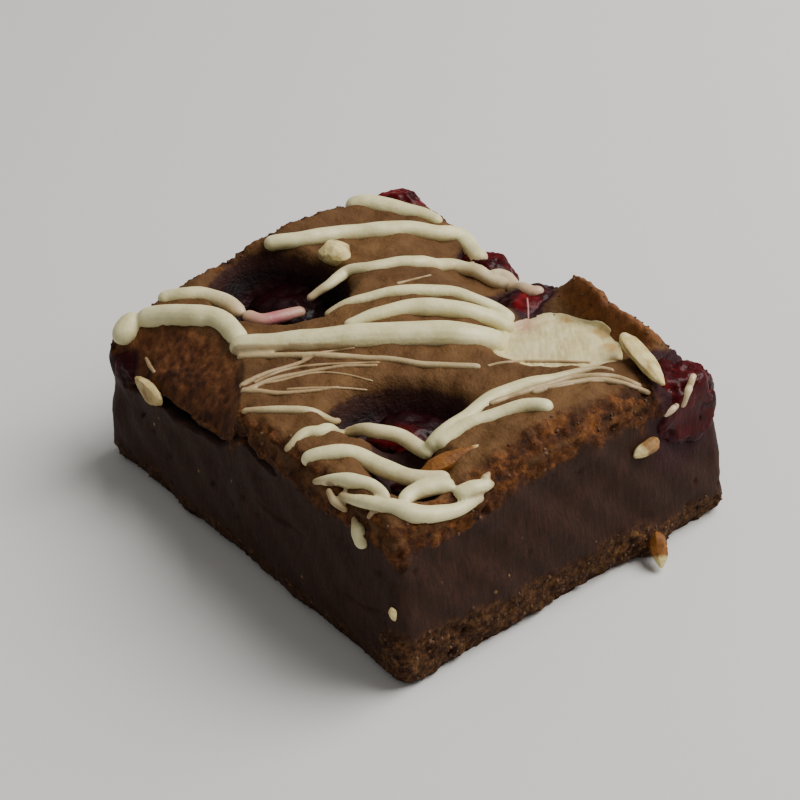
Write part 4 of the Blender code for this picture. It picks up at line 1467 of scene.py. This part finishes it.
@dataclass
class Drizzle:
    """Thick strands melted together, and the hair-thin threads between them."""

    eye: Point = (-156.7, -220.9, 199.1)
    rim_z: float = 28.0
    step: float = 0.5
    lean: float = 0.5
    above: float = 60.0
    clearance: float = 1.2
    near: float = 3.0
    ease: int = 7
    melt: float = 0.25
    smoothing: int = 3
    swell: float = 0.26

    def sighted(self, x: float, y: float, z: float) -> Vector:
        """Point at height z on the line of sight through (x, y) on the rim's plane."""
        eye = Vector(self.eye)
        line = Vector((x, y, self.rim_z)) - eye
        return eye + line * ((z - eye.z) / line.z)

    def settled(self, tree: BVHTree, x: float, y: float) -> Vector:
        """Point where the line of sight through (x, y) meets the cake.

        Args:
            tree: Search tree over what the chocolate lies on.
            x: Places along X in millimetres.
            y: Places along Y in millimetres.

        Returns:
            The place that is met, or the one on the rim's plane.
        """
        eye = Vector(self.eye)
        line = Vector((x, y, self.rim_z)) - eye
        hit = tree.ray_cast(eye, line.normalized())[0]
        return hit if hit is not None else Vector((x, y, self.rim_z))

    def curve_through(self, knots: Sequence[Vector]) -> np.ndarray:
        """Smooth curve through the knots, a sample about every step.

        Args:
            knots: Places that the curve passes, in order.

        Returns:
            The samples, one a row.
        """
        places = [np.array(knot) for knot in knots]
        ends = [places[0] * 2.0 - places[1]] + places + [places[-1] * 2.0 - places[-2]]
        samples: list[np.ndarray] = []
        for four in zip(ends, ends[1:], ends[2:], ends[3:]):
            length = float(np.linalg.norm(four[2] - four[1]))
            samples += curve_part(four, max(2, round(length / self.step)))
        return np.array(samples + [places[-1]])

    def route(self, tree: BVHTree, strand: Strand) -> np.ndarray:
        """Middle line of a strand, lying on the cake or hanging over a pit.

        Args:
            tree: Search tree over what the chocolate lies on.
            strand: The strand, with its radii and passes.

        Returns:
            The samples, one a row.
        """
        knots = []
        nearer = self.lean * float(np.mean(strand.radii))
        for place in strand.passes:
            x = place[0] - VIEW_X * nearer
            y = place[1] - VIEW_Y * nearer
            knots.append(self.sighted(x, y, place[2]) if len(place) == 3 else self.settled(tree, x, y))
        line = self.curve_through(knots)
        hangs = any(len(place) == 3 for place in strand.passes)
        for point in line:
            hit = tree.ray_cast(Vector((point[0], point[1], self.above)), Vector((0.0, 0.0, -1.0)))[0]
            if hit is not None and not (hangs and point[2] > hit.z + self.clearance):
                point[2] = hit.z
        window = np.hanning(2 * self.ease + 3)[1:-1]
        padded = np.pad(line[:, 2], self.ease, mode="edge")
        line[:, 2] = np.convolve(padded, window / window.sum(), mode="valid")
        return line

    def rounded(self, line: np.ndarray, strand: Strand, seed: float) -> tuple[np.ndarray, ...]:
        """Line with radii that vary a little and close to a round end.

        Args:
            line: Middle line of the strand.
            strand: The strand, for its radii and how pink it is.
            seed: Shift of the small variations.

        Returns:
            Places, radii with round ends, how pink each place is, and the full radii.
        """
        radii = strand.radii
        lengths = np.concatenate(([0.0], np.cumsum(np.linalg.norm(np.diff(line, axis=0), axis=1))))
        total = lengths[-1]
        start_cap = radii[0] * np.array([0.0, 0.04, 0.15, 0.35, 0.65])
        end_cap = total - radii[-1] * np.array([0.65, 0.35, 0.15, 0.04, 0.0])
        inner = np.arange(radii[0], total - radii[-1], self.step)
        places = np.concatenate((start_cap, inner, end_cap))
        samples = np.stack([np.interp(places, lengths, line[:, axis]) for axis in range(3)], axis=1)
        shares = places / total
        radius = np.interp(shares, (0.0, 0.5, 1.0), radii)
        radius = radius * (1.0 + 0.07 * grain(samples, 6.0, 2, seed))
        radius = radius + self.swell * smooth(0.5, 0.9, radius)
        full = radius.copy()
        from_end = np.minimum(places, total - places)
        cap = np.clip(1.0 - from_end / radius, 0.0, 1.0)
        radius = radius * np.sqrt(np.maximum(1.0 - cap**2, 0.02))
        return samples, radius, np.interp(shares, (0.0, 0.5, 1.0), strand.pink), full

    @staticmethod
    def lines(name: str, routes: Sequence[tuple[np.ndarray, ...]]) -> bpy.types.Object:
        """Object of open lines that keep their radii.

        Args:
            name: Name of the object.
            routes: Places, radii, pink shares and full radii of each line.

        Returns:
            The new object, linked to the scene.
        """
        samples, radii, _, _ = [np.concatenate(parts) for parts in zip(*routes)]
        edges: list[tuple[int, int]] = []
        first = 0
        for route in routes:
            last = first + len(route[0]) - 1
            edges.extend((index, index + 1) for index in range(first, last))
            first = last + 1
        mesh = bpy.data.meshes.new(name)
        mesh.from_pydata((samples * MM).tolist(), edges, [])
        keep_numbers(mesh, {"radius": radii * MM})
        piece = bpy.data.objects.new(name, mesh)
        bpy.context.collection.objects.link(piece)
        return piece

    @staticmethod
    def tinted(piece: bpy.types.Object, routes: Sequence[tuple[np.ndarray, ...]]) -> None:
        """Keep at each point how pink and how thin the nearest strand is there.

        Args:
            piece: Object of the piece.
            routes: Places, radii, pink shares and full radii of each line.
        """
        samples, _, pinks, radii = [np.concatenate(parts) for parts in zip(*routes)]
        finder = KDTree(len(samples))
        for index, sample in enumerate(samples):
            finder.insert(sample, index)
        finder.balance()
        points = mesh_points(piece.data)
        nearest = np.array([finder.find(point)[1] for point in points])
        sheer = smooth(1.1, 0.45, radii[nearest]) * 0.8 * smooth(0.35, 0.1, pinks[nearest])
        wet = np.zeros(len(points))
        for cherry in CHERRIES.values():
            wet = np.maximum(wet, smooth(1.25, 0.95, cherry.reach(points)) * 0.22)
        pink = np.clip(np.maximum(pinks[nearest], wet), 0.0, 1.0)
        keep_numbers(piece.data, {"sheer": sheer, "pink": pink, "stain_and_shade": np.zeros(len(points))})

    def build(self, tree: BVHTree, material: bpy.types.Material) -> bpy.types.Object:
        """Make the thick strands as one melted piece.

        Args:
            tree: Search tree over what the chocolate lies on.
            material: Material of the whole piece.

        Returns:
            The finished piece.
        """
        lines = [self.route(tree, strand) for strand in STRANDS.values()]
        for drip in DRIPS.values():
            lines.append(self.curve_through([Vector(place) for place in drip.passes]))
        strands = [*STRANDS.values(), *DRIPS.values()]
        routes = [self.rounded(*pair, float(index)) for index, pair in enumerate(zip(lines, strands))]
        piece = self.lines("drizzle", routes)
        StrandTree().apply(piece, material)
        remesh = piece.modifiers.new("melt", "REMESH")
        remesh.mode = "VOXEL"
        remesh.voxel_size = self.melt * MM
        remesh.use_smooth_shade = True
        relax = piece.modifiers.new("relax", "SMOOTH")
        relax.factor = 0.5
        relax.iterations = self.smoothing
        baked(piece)
        piece.data.materials.clear()
        piece.data.materials.append(material)
        self.tinted(piece, routes)
        return piece

    def build_threads(self, tree: BVHTree, material: bpy.types.Material) -> bpy.types.Object:
        """Make the hair-thin threads, which lie on cake, fruit and pool alike.

        Args:
            tree: Search tree over what the chocolate lies on.
            material: Material of the whole piece.

        Returns:
            The finished piece.
        """
        routes = []
        for index, strand in enumerate(THREADS.values()):
            line = self.curve_through([self.settled(tree, *place) for place in strand.passes])
            line = np.array([self.settled_near(tree, point) for point in line])
            routes.append(self.rounded(line, strand, 40.0 + index))
        piece = self.lines("drizzle_threads", routes)
        StrandTree(sides=8, unevenness=0.03).apply(piece, material)
        self.tinted(piece, routes)
        return piece

    def settled_near(self, tree: BVHTree, point: np.ndarray) -> np.ndarray:
        """Point of the surface behind a point as the eye sees it, if it is close.

        Args:
            tree: Search tree over what the chocolate lies on.
            point: Place in millimetres.

        Returns:
            The place that is met, or the point itself.
        """
        eye = Vector(self.eye)
        hit = tree.ray_cast(eye, (Vector(point) - eye).normalized())[0]
        seen = hit is not None and (hit - Vector(point)).length < self.near
        return np.array(hit) if seen else point


@dataclass
class Pool:
    """Flat pool of white chocolate with a lobed outline and a wrinkled top."""

    outline: tuple[tuple[float, float], ...] = (
        (8.8, -12.4), (11.8, -9.6), (14.6, -7.4), (17.4, -7.6), (20.8, -7.8), (23.8, -9.4),
        (25.9, -12.0), (27.2, -15.4), (27.6, -19.2), (26.3, -23.2), (23.4, -26.6), (20.4, -27.8),
        (17.4, -26.0), (15.0, -23.0), (12.6, -20.4), (10.2, -18.2), (8.6, -15.4),
    )
    outline_steps: int = 14
    centre: tuple[float, float] = (19.4, -17.2)
    top_z: float = 25.1
    dome: float = 0.8
    thickness: float = 2.4
    film: float = 0.4
    climb: float = 1.3
    lip: float = 0.93
    lip_width: float = 0.07
    lip_fall: float = 0.5
    rings: int = 60
    stains: tuple[Point, ...] = (
        (24.9, -12.2, 1.9), (26.2, -18.6, 2.6), (24.6, -23.2, 2.8), (22.4, -26.8, 2.4),
    )
    juice: tuple[float, float] = (19.0, -8.0)

    def build(self, form: CakeForm, material: bpy.types.Material) -> bpy.types.Object:
        """Make the pool's piece, as a film where the crust rises out of the hollow.

        Args:
            form: Shape of the cake under the pool.
            material: Material of the whole piece.

        Returns:
            The finished piece.
        """
        rim = self.smooth_outline()
        count = len(rim)
        middle = np.array(self.centre)
        rings = []
        for step in range(1, self.rings + 1):
            share = step / self.rings
            fall = self.dome * (1.0 - share**3)
            fall -= self.lip_fall * max(0.0, share - self.lip) / self.lip_width
            rings.append(self.ring(middle + (rim - middle) * share, self.top_z + fall))
        for share, drop in ((0.99, self.thickness / 2.0), (self.lip, self.thickness)):
            rings.append(self.ring(middle + (rim - middle) * share, self.top_z - drop))
        points = np.concatenate([[[*self.centre, self.top_z + self.dome]]] + rings)
        faces: list[tuple[int, ...]] = []
        for index in range(count):
            after = (index + 1) % count
            faces.append((0, 1 + index, 1 + after))
            for ring in range(len(rings) - 1):
                low = 1 + ring * count
                high = low + count
                faces.append((low + index, high + index, high + after, low + after))
        last = 1 + (len(rings) - 1) * count
        faces.append(tuple(last + index for index in range(count - 1, -1, -1)))
        on_top = np.arange(len(points)) < 1 + self.rings * count
        sideways = points[:, 0] * VIEW_Y - points[:, 1] * VIEW_X
        along = points[:, 0] * VIEW_X + points[:, 1] * VIEW_Y
        drawn = np.stack((sideways, along * 0.22, points[:, 2] * 0.0), axis=1)
        shares = np.concatenate([[0.0], np.repeat(np.arange(1, self.rings + 1) / self.rings, count)])
        ground = form.top_height(points[on_top, 0], points[on_top, 1], np.full(len(shares), 9.0))
        film = np.minimum(ground + self.film * smooth(1.0, 0.85, shares) + 0.1, self.top_z + self.climb)
        points[on_top, 2] = np.maximum(points[on_top, 2], film)
        wrinkle = grain(points, 4.0, 3, 9.0) * 0.25 + grain(drawn, 0.9, 2, 8.0) * 0.13
        points[:, 2] += np.where(on_top, wrinkle, 0.0)
        # A tan tint over the whole pool is painted shade on its upward face; the spots below are real
        # stains.
        stain_and_shade = np.full(len(points), 0.3)
        for x, y, size in self.stains:
            away = np.hypot(points[:, 0] - x, points[:, 1] - y) + 0.6 * grain(points, 1.6, 2, 3.0)
            stain_and_shade = np.maximum(stain_and_shade, smooth(size, size * 0.2, away) * 0.9)
        juice_x, juice_y = self.juice
        away = np.hypot(points[:, 0] - juice_x, points[:, 1] - juice_y) + 0.8 * grain(points, 2.0, 2, 4.0)
        pink = smooth(4.2, 1.0, away) * 0.45
        numbers = {"stain_and_shade": stain_and_shade, "sheer": np.zeros(len(points)), "pink": pink}
        return make_piece("chocolate_pool", points, faces, material, numbers)

    def smooth_outline(self) -> np.ndarray:
        """Closed smooth curve through the outline's points.

        Returns:
            Places in plan, one a row.
        """
        knots = np.array(self.outline)
        samples: list[np.ndarray] = []
        for index in range(len(knots)):
            four = [knots[(index + step) % len(knots)] for step in (-1, 0, 1, 2)]
            samples += curve_part(four, self.outline_steps)
        samples.reverse()
        return np.array(samples)

    @staticmethod
    def ring(plan: np.ndarray, z: float) -> np.ndarray:
        """Ring of points in plan at one height."""
        return np.column_stack((plan, np.full(len(plan), z)))


@dataclass
class Cherry:
    """One cherry, wrinkled and trimmed flush where the square was cut."""

    name: str
    form: Ellipsoid
    # Share of painted shade, and the centre and size of the painted lit patch where it is left out
    shade: float = 0.7
    lit: Point = (0.0, 0.0, 0.0)
    lit_size: float = 1.0
    torn: float = 0.9
    proud: float = 0.45
    fineness: int = 5
    fold_size: float = 3.4
    wrinkle_size: float = 1.1
    fibre_size: float = 1.6
    patch_size: float = 3.0

    def build(self, material: bpy.types.Material) -> bpy.types.Object:
        """Make the cherry's piece.

        Args:
            material: Material of the whole piece.

        Returns:
            The finished piece.
        """
        shape = bmesh.new()
        bmesh.ops.create_icosphere(shape, subdivisions=self.fineness, radius=1.0)
        rays = np.array([vert.co.normalized()[:] for vert in shape.verts])
        faces = [tuple(vert.index for vert in face.verts) for face in shape.faces]
        shape.free()
        centre = self.form.centre
        lumps = 1.0 + 0.05 * np.sin(4.0 * rays[:, 0] + centre[0])
        lumps = lumps + 0.05 * np.sin(5.0 * rays[:, 1] + 3.0 * rays[:, 2])
        near = (rays[:, 0] - 0.2) ** 2 + (rays[:, 1] + 0.1) ** 2
        hollow = self.form.dimple * np.exp(-6.0 * near) * np.maximum(rays[:, 2], 0.0)
        size = np.array(self.form.halves)[None, :] * (lumps - hollow)[:, None]
        spin = np.array(Matrix.Rotation(math.radians(self.form.turn), 3, "Z"))
        points = (rays * size) @ spin.T + np.array(centre)
        folds = np.abs(grain(points, self.fold_size, 3, centre[0])) * self.torn
        folds = folds + grain(points, self.wrinkle_size, 3, centre[1]) * 0.08
        points = points - rays * folds[:, None]
        cut = CakeForm()
        inset = np.interp(points[:, 2] / cut.rim_z, cut.wall_levels, cut.wall_insets) - self.proud
        points[:, 0] = np.clip(points[:, 0], inset - cut.base_x / 2.0, cut.base_x / 2.0 - inset)
        points[:, 1] = np.clip(points[:, 1], inset - cut.base_y / 2.0, cut.base_y / 2.0 - inset)
        points = points + rays * grain(points, self.fibre_size, 3, 5.0)[:, None] * 0.12
        # Painted shade over the cherry, left out in a painted lit patch round lit
        away = np.linalg.norm(points - np.array(self.lit), axis=1)
        away = away + grain(points, self.patch_size, 2, 2.0)
        dark = self.shade * (1.0 - smooth(self.lit_size, self.lit_size * 0.4, away))
        return make_piece(self.name, points, faces, material, {"dark": dark})


@dataclass
class Almond:
    """Sliver or chunk of almond: a lens along X with uneven flats and worn edges."""

    name: str
    centre: Point
    sizes: Point
    turns: Point
    toast_and_shade: float = 0.15
    pale_tip: float = 2.0
    rings: int = 7
    sides: int = 8
    wear: float = 0.2
    grain_size: float = 1.4
    toast_size: float = 2.0

    def build(self, material: bpy.types.Material) -> bpy.types.Object:
        """Make the almond's piece.

        Args:
            material: Material of the whole piece.

        Returns:
            The finished piece.
        """
        half_length, half_width, half_thick = [size / 2.0 for size in self.sizes]
        turn = np.array(Euler([math.radians(angle) for angle in self.turns]).to_matrix())
        angles = 2.0 * math.pi * np.arange(self.sides) / self.sides + 0.3
        places = []
        for index in range(self.rings):
            along = 0.94 * (2.0 * index / (self.rings - 1) - 1.0)
            swell = (1.0 - abs(along) ** 2.2) ** 0.6 * (1.0 - 0.25 * along)
            reach = swell * (1.0 + 0.12 * np.sin(3.0 * angles + self.centre[0] + index))
            ring = (np.full_like(angles, along * half_length), np.cos(angles) * half_width * reach)
            places.append(np.stack((*ring, np.sin(angles) * half_thick * reach), axis=1))
        centre = np.array(self.centre)
        points = np.concatenate(places) @ turn.T + centre
        piece = make_piece("nut_" + self.name, points, tube_faces(self.rings, self.sides), material)
        worn = piece.modifiers.new("worn edges", "BEVEL")
        worn.width = self.wear * MM
        worn.segments = 3
        worn.limit_method = "NONE"
        finer = piece.modifiers.new("finer", "SUBSURF")
        finer.subdivision_type = "SIMPLE"
        finer.levels = finer.render_levels = 1
        baked(piece)
        points = mesh_points(piece.data)
        lumps = grain(points, self.grain_size, 3, self.centre[1])
        grained = points + mesh_normals(piece.data) * lumps[:, None] * 0.1
        away = (points - centre) @ turn
        shares = np.linalg.norm(away / np.array(self.sizes) * 2.0, axis=1)
        patches = grain(points, self.toast_size, 2, 7.0)
        toast_and_shade = self.toast_and_shade + 0.5 * smooth(0.2, 0.7, patches + shares * 0.3 - 0.2)
        bare = smooth(self.pale_tip + 0.15, self.pale_tip - 0.15, away[:, 0] / half_length)
        keep_numbers(piece.data, {"toast_and_shade": np.clip(np.minimum(toast_and_shade, 1.0) * bare, 0.0, 1.0)})
        move_points(piece.data, grained)
        return piece


def tube_faces(rings: int, sides: int) -> list[tuple[int, ...]]:
    """Faces of a closed tube whose points lie ring after ring.

    Args:
        rings: How many rings there are.
        sides: How many points a ring has.

    Returns:
        Point numbers of each face.
    """
    faces: list[tuple[int, ...]] = []
    for ring in range(rings - 1):
        low = ring * sides
        for index in range(sides):
            after = (index + 1) % sides
            faces.append((low + index, low + after, low + sides + after, low + sides + index))
    last = (rings - 1) * sides
    faces.append(tuple(range(sides - 1, -1, -1)))
    faces.append(tuple(last + index for index in range(sides)))
    return faces


ALMONDS: tuple[Almond, ...] = (
    Almond("almond_chunk", (7.0, 25.4, 29.6), (6.6, 5.2, 4.0), (0.0, 8.0, 30.0), 0.05),
    Almond("almond_sliver_right", (22.3, -32.4, 28.7), (17.4, 3.7, 2.2), (-14.0, -3.0, 248.0), 0.04),
    # Its toast share is partly painted shade, for it lies in the left face's shadow
    Almond("almond_sliver_left", (-31.2, 25.9, 19.3), (9.4, 3.4, 2.6), (90.0, 0.0, 84.0), 0.3),
    Almond("almond_front_pit", (-14.2, -31.5, 27.4), (10.6, 3.4, 3.0), (0.0, -9.0, -16.0), 1.0, 0.75),
    Almond("almond_right_face", (15.6, -40.1, 19.4), (5.4, 2.8, 2.4), (0.0, 6.0, 184.0), 0.85, 0.3),
    Almond("almond_base", (14.8, -43.9, 2.7), (6.0, 2.9, 2.5), (0.0, 36.0, -125.0), 1.0, 0.45),
    Almond("almond_front_crumb", (-31.9, -38.9, 13.4), (2.7, 1.3, 1.4), (0.0, 80.0, 0.0), 0.1),
)


@dataclass
class CrumbScatter:
    """Loose crumbs on the cut edges and the foot, scattered by Geometry Nodes."""

    density: float = 0.4
    smallest: float = 0.1
    largest: float = 0.34
    roughness: float = 0.34
    dent: float = 0.5
    lowest: float = 0.6
    seed: int = 11

    def tree(self, material: bpy.types.Material) -> bpy.types.NodeTree:
        """Make the tree, which ends in Realize Instances and Set Material.

        Args:
            material: Material of the whole piece.

        Returns:
            The finished tree.
        """
        kit = ShapeKit("crumbs", ("Density", "Smallest", "Largest", "Roughness"), "Seed")
        given = kit.given
        density = kit.math("MULTIPLY", given["Density"], kit.kept("loose"))
        spread = kit.node(
            "GeometryNodeDistributePointsOnFaces",
            {"distribute_method": "RANDOM"},
            {"Mesh": given["Geometry"], "Density": density, "Seed": given["Seed"]},
        )
        turn = kit.node(
            "FunctionNodeRandomValue",
            {"data_type": "FLOAT_VECTOR"},
            {"Min": (0.0, 0.0, 0.0), "Max": (6.28, 6.28, 6.28), "Seed": given["Seed"]},
        )
        crumbs = kit.step(
            "GeometryNodeInstanceOnPoints",
            {
                "Points": spread.outputs["Points"],
                "Instance": kit.step("GeometryNodeMeshIcoSphere", {"Radius": 1.0, "Subdivisions": 1}),
                "Rotation": turn.outputs[0],
                "Scale": kit.random(given["Smallest"], given["Largest"]),
            },
        )
        toned = kit.node(
            "GeometryNodeStoreNamedAttribute",
            {"data_type": "FLOAT", "domain": "INSTANCE"},
            {"Geometry": crumbs, "Name": "tone", "Value": kit.random(0.0, 1.0)},
        )
        plain = kit.step("GeometryNodeRealizeInstances", {"Geometry": toned.outputs[0]})
        return kit.close(kit.uneven(plain, 1.0 / (self.dent * MM), given["Roughness"]), material)

    def build(self, cake: bpy.types.Object, material: bpy.types.Material) -> bpy.types.Object:
        """Scatter the crumbs over a copy of the cake and keep only them.

        Args:
            cake: The finished cake.
            material: Material of the whole piece.

        Returns:
            The finished piece.
        """
        mesh = cake.data.copy()
        points = mesh_points(mesh)
        zones: dict[str, np.ndarray] = {}
        for name in ("edge", "crust", "foot", "torn"):
            zones[name] = np.empty(len(points))
            mesh.attributes[name].data.foreach_get("value", zones[name])
        bare = np.clip(zones["edge"] - zones["crust"] - zones["torn"], 0.0, 1.0)
        loose = (bare * 0.35 + zones["foot"]) * (points[:, 2] > self.lowest)
        keep_numbers(mesh, {"loose": loose})
        piece = bpy.data.objects.new("crumbs", mesh)
        bpy.context.collection.objects.link(piece)
        values = {
            "Density": self.density / MM**2,
            "Smallest": self.smallest * MM,
            "Largest": self.largest * MM,
            "Roughness": self.roughness * MM,
            "Seed": self.seed,
        }
        grow(piece, self.tree(material), values)
        points = mesh_points(piece.data)
        points[:, 2] = np.maximum(points[:, 2], 0.0)
        move_points(piece.data, points)
        return piece


@dataclass
class Studio:
    """Pale floor, soft daylight and the camera."""

    azimuth: float = -35.313
    elevation: float = 34.122
    roll: float = -4.565
    distance: float = 330.0
    target: Point = (1.199, 2.018, 14.0)
    focal_length: float = 91.77
    sensor: float = 36.0
    floor_half: float = 900.0
    sky: float = 0.305
    sky_colour: Colour = (1.0, 0.99, 0.975, 1.0)
    key_place: Point = (0.52, 0.11, 0.68)
    key_size: float = 0.62
    key_power: float = 12.4
    key_colour: Point = (1.0, 0.985, 0.96)

    def build(self) -> None:
        """Set up floor, light and camera."""
        self.lay_floor()
        self.hang_lights()
        self.place_camera()

    def axes(self) -> tuple[Vector, Vector, Vector]:
        """Right, up and back directions of the camera.

        Returns:
            The three directions.
        """
        azimuth = math.radians(self.azimuth)
        elevation = math.radians(self.elevation)
        roll = math.radians(self.roll)
        reach = math.cos(elevation)
        back = Vector((math.sin(azimuth) * reach, -math.cos(azimuth) * reach, math.sin(elevation)))
        level = Vector((math.cos(azimuth), math.sin(azimuth), 0.0))
        upright = back.cross(level)
        right = level * math.cos(roll) + upright * math.sin(roll)
        up = upright * math.cos(roll) - level * math.sin(roll)
        return right, up, back

    def lay_floor(self) -> None:
        """Lay the pale floor."""
        signs = np.array([[-1.0, -1.0, 0.0], [1.0, -1.0, 0.0], [1.0, 1.0, 0.0], [-1.0, 1.0, 0.0]])
        corners = signs * self.floor_half
        floor = make_piece("floor", corners, [(0, 1, 2, 3)], FloorFinish().material())

    def hang_lights(self) -> None:
        """Even light all round and one large soft light from the right."""
        world = bpy.data.worlds.new("studio")
        world.use_nodes = True
        ground = world.node_tree.nodes["Background"]
        ground.inputs["Color"].default_value = self.sky_colour
        ground.inputs["Strength"].default_value = self.sky
        bpy.context.scene.world = world
        right, _, back = self.axes()
        away = Vector((-back.x, -back.y, 0.0)).normalized()
        sideways, beyond, height = self.key_place
        place = right * sideways + away * beyond + Vector((0.0, 0.0, height))
        light = bpy.data.lights.new("window", "AREA")
        light.shape = "SQUARE"
        light.size = self.key_size
        light.energy = self.key_power
        light.color = self.key_colour
        lamp = bpy.data.objects.new("window", light)
        lamp.location = place
        lamp.rotation_euler = (-place).to_track_quat("-Z", "Y").to_euler()
        bpy.context.collection.objects.link(lamp)

    def place_camera(self) -> None:
        """Set the camera to the photograph's view."""
        right, up, back = self.axes()
        camera = bpy.data.cameras.new("camera")
        camera.lens = self.focal_length
        camera.sensor_width = self.sensor
        camera.clip_start = 0.01
        camera.clip_end = 10.0
        eye = bpy.data.objects.new("camera", camera)
        place = (Vector(self.target) + back * self.distance) * MM
        turn = Matrix((right, up, back)).transposed().to_4x4()
        eye.matrix_world = Matrix.Translation(place) @ turn
        bpy.context.collection.objects.link(eye)
        bpy.context.scene.camera = eye


def main() -> None:
    """Build every piece and report it."""
    logging.basicConfig(level=logging.INFO, format="%(message)s")
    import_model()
    Studio().build()
    cake = Cake(CakeForm())
    body = cake.build(CakeFinish().material())
    present(body, "brownie")
    fruit = CherryFinish().material()
    cherries = []
    for name, form in CHERRIES.items():
        cherries.append(Cherry("fruit_" + name, form, *CHERRY_LIGHT[name]).build(fruit))
        present(cherries[-1], name)
    chocolate = ChocolateFinish().material()
    drizzle = Drizzle()
    tree = search_tree([body, *cherries])
    present(drizzle.build(tree, chocolate), "brownie")
    pool = Pool().build(cake.form, chocolate)
    present(pool, "white_chocolate_pool")
    covered = search_tree([body, pool, *cherries])
    present(drizzle.build_threads(covered, chocolate), "brownie")
    nut = AlmondFinish().material()
    for almond in ALMONDS:
        present(almond.build(nut), almond.name)
    crumbs = CrumbScatter().build(body, CrumbFinish().material())
    present(crumbs, "brownie")


if __name__ == "__main__":
    main()
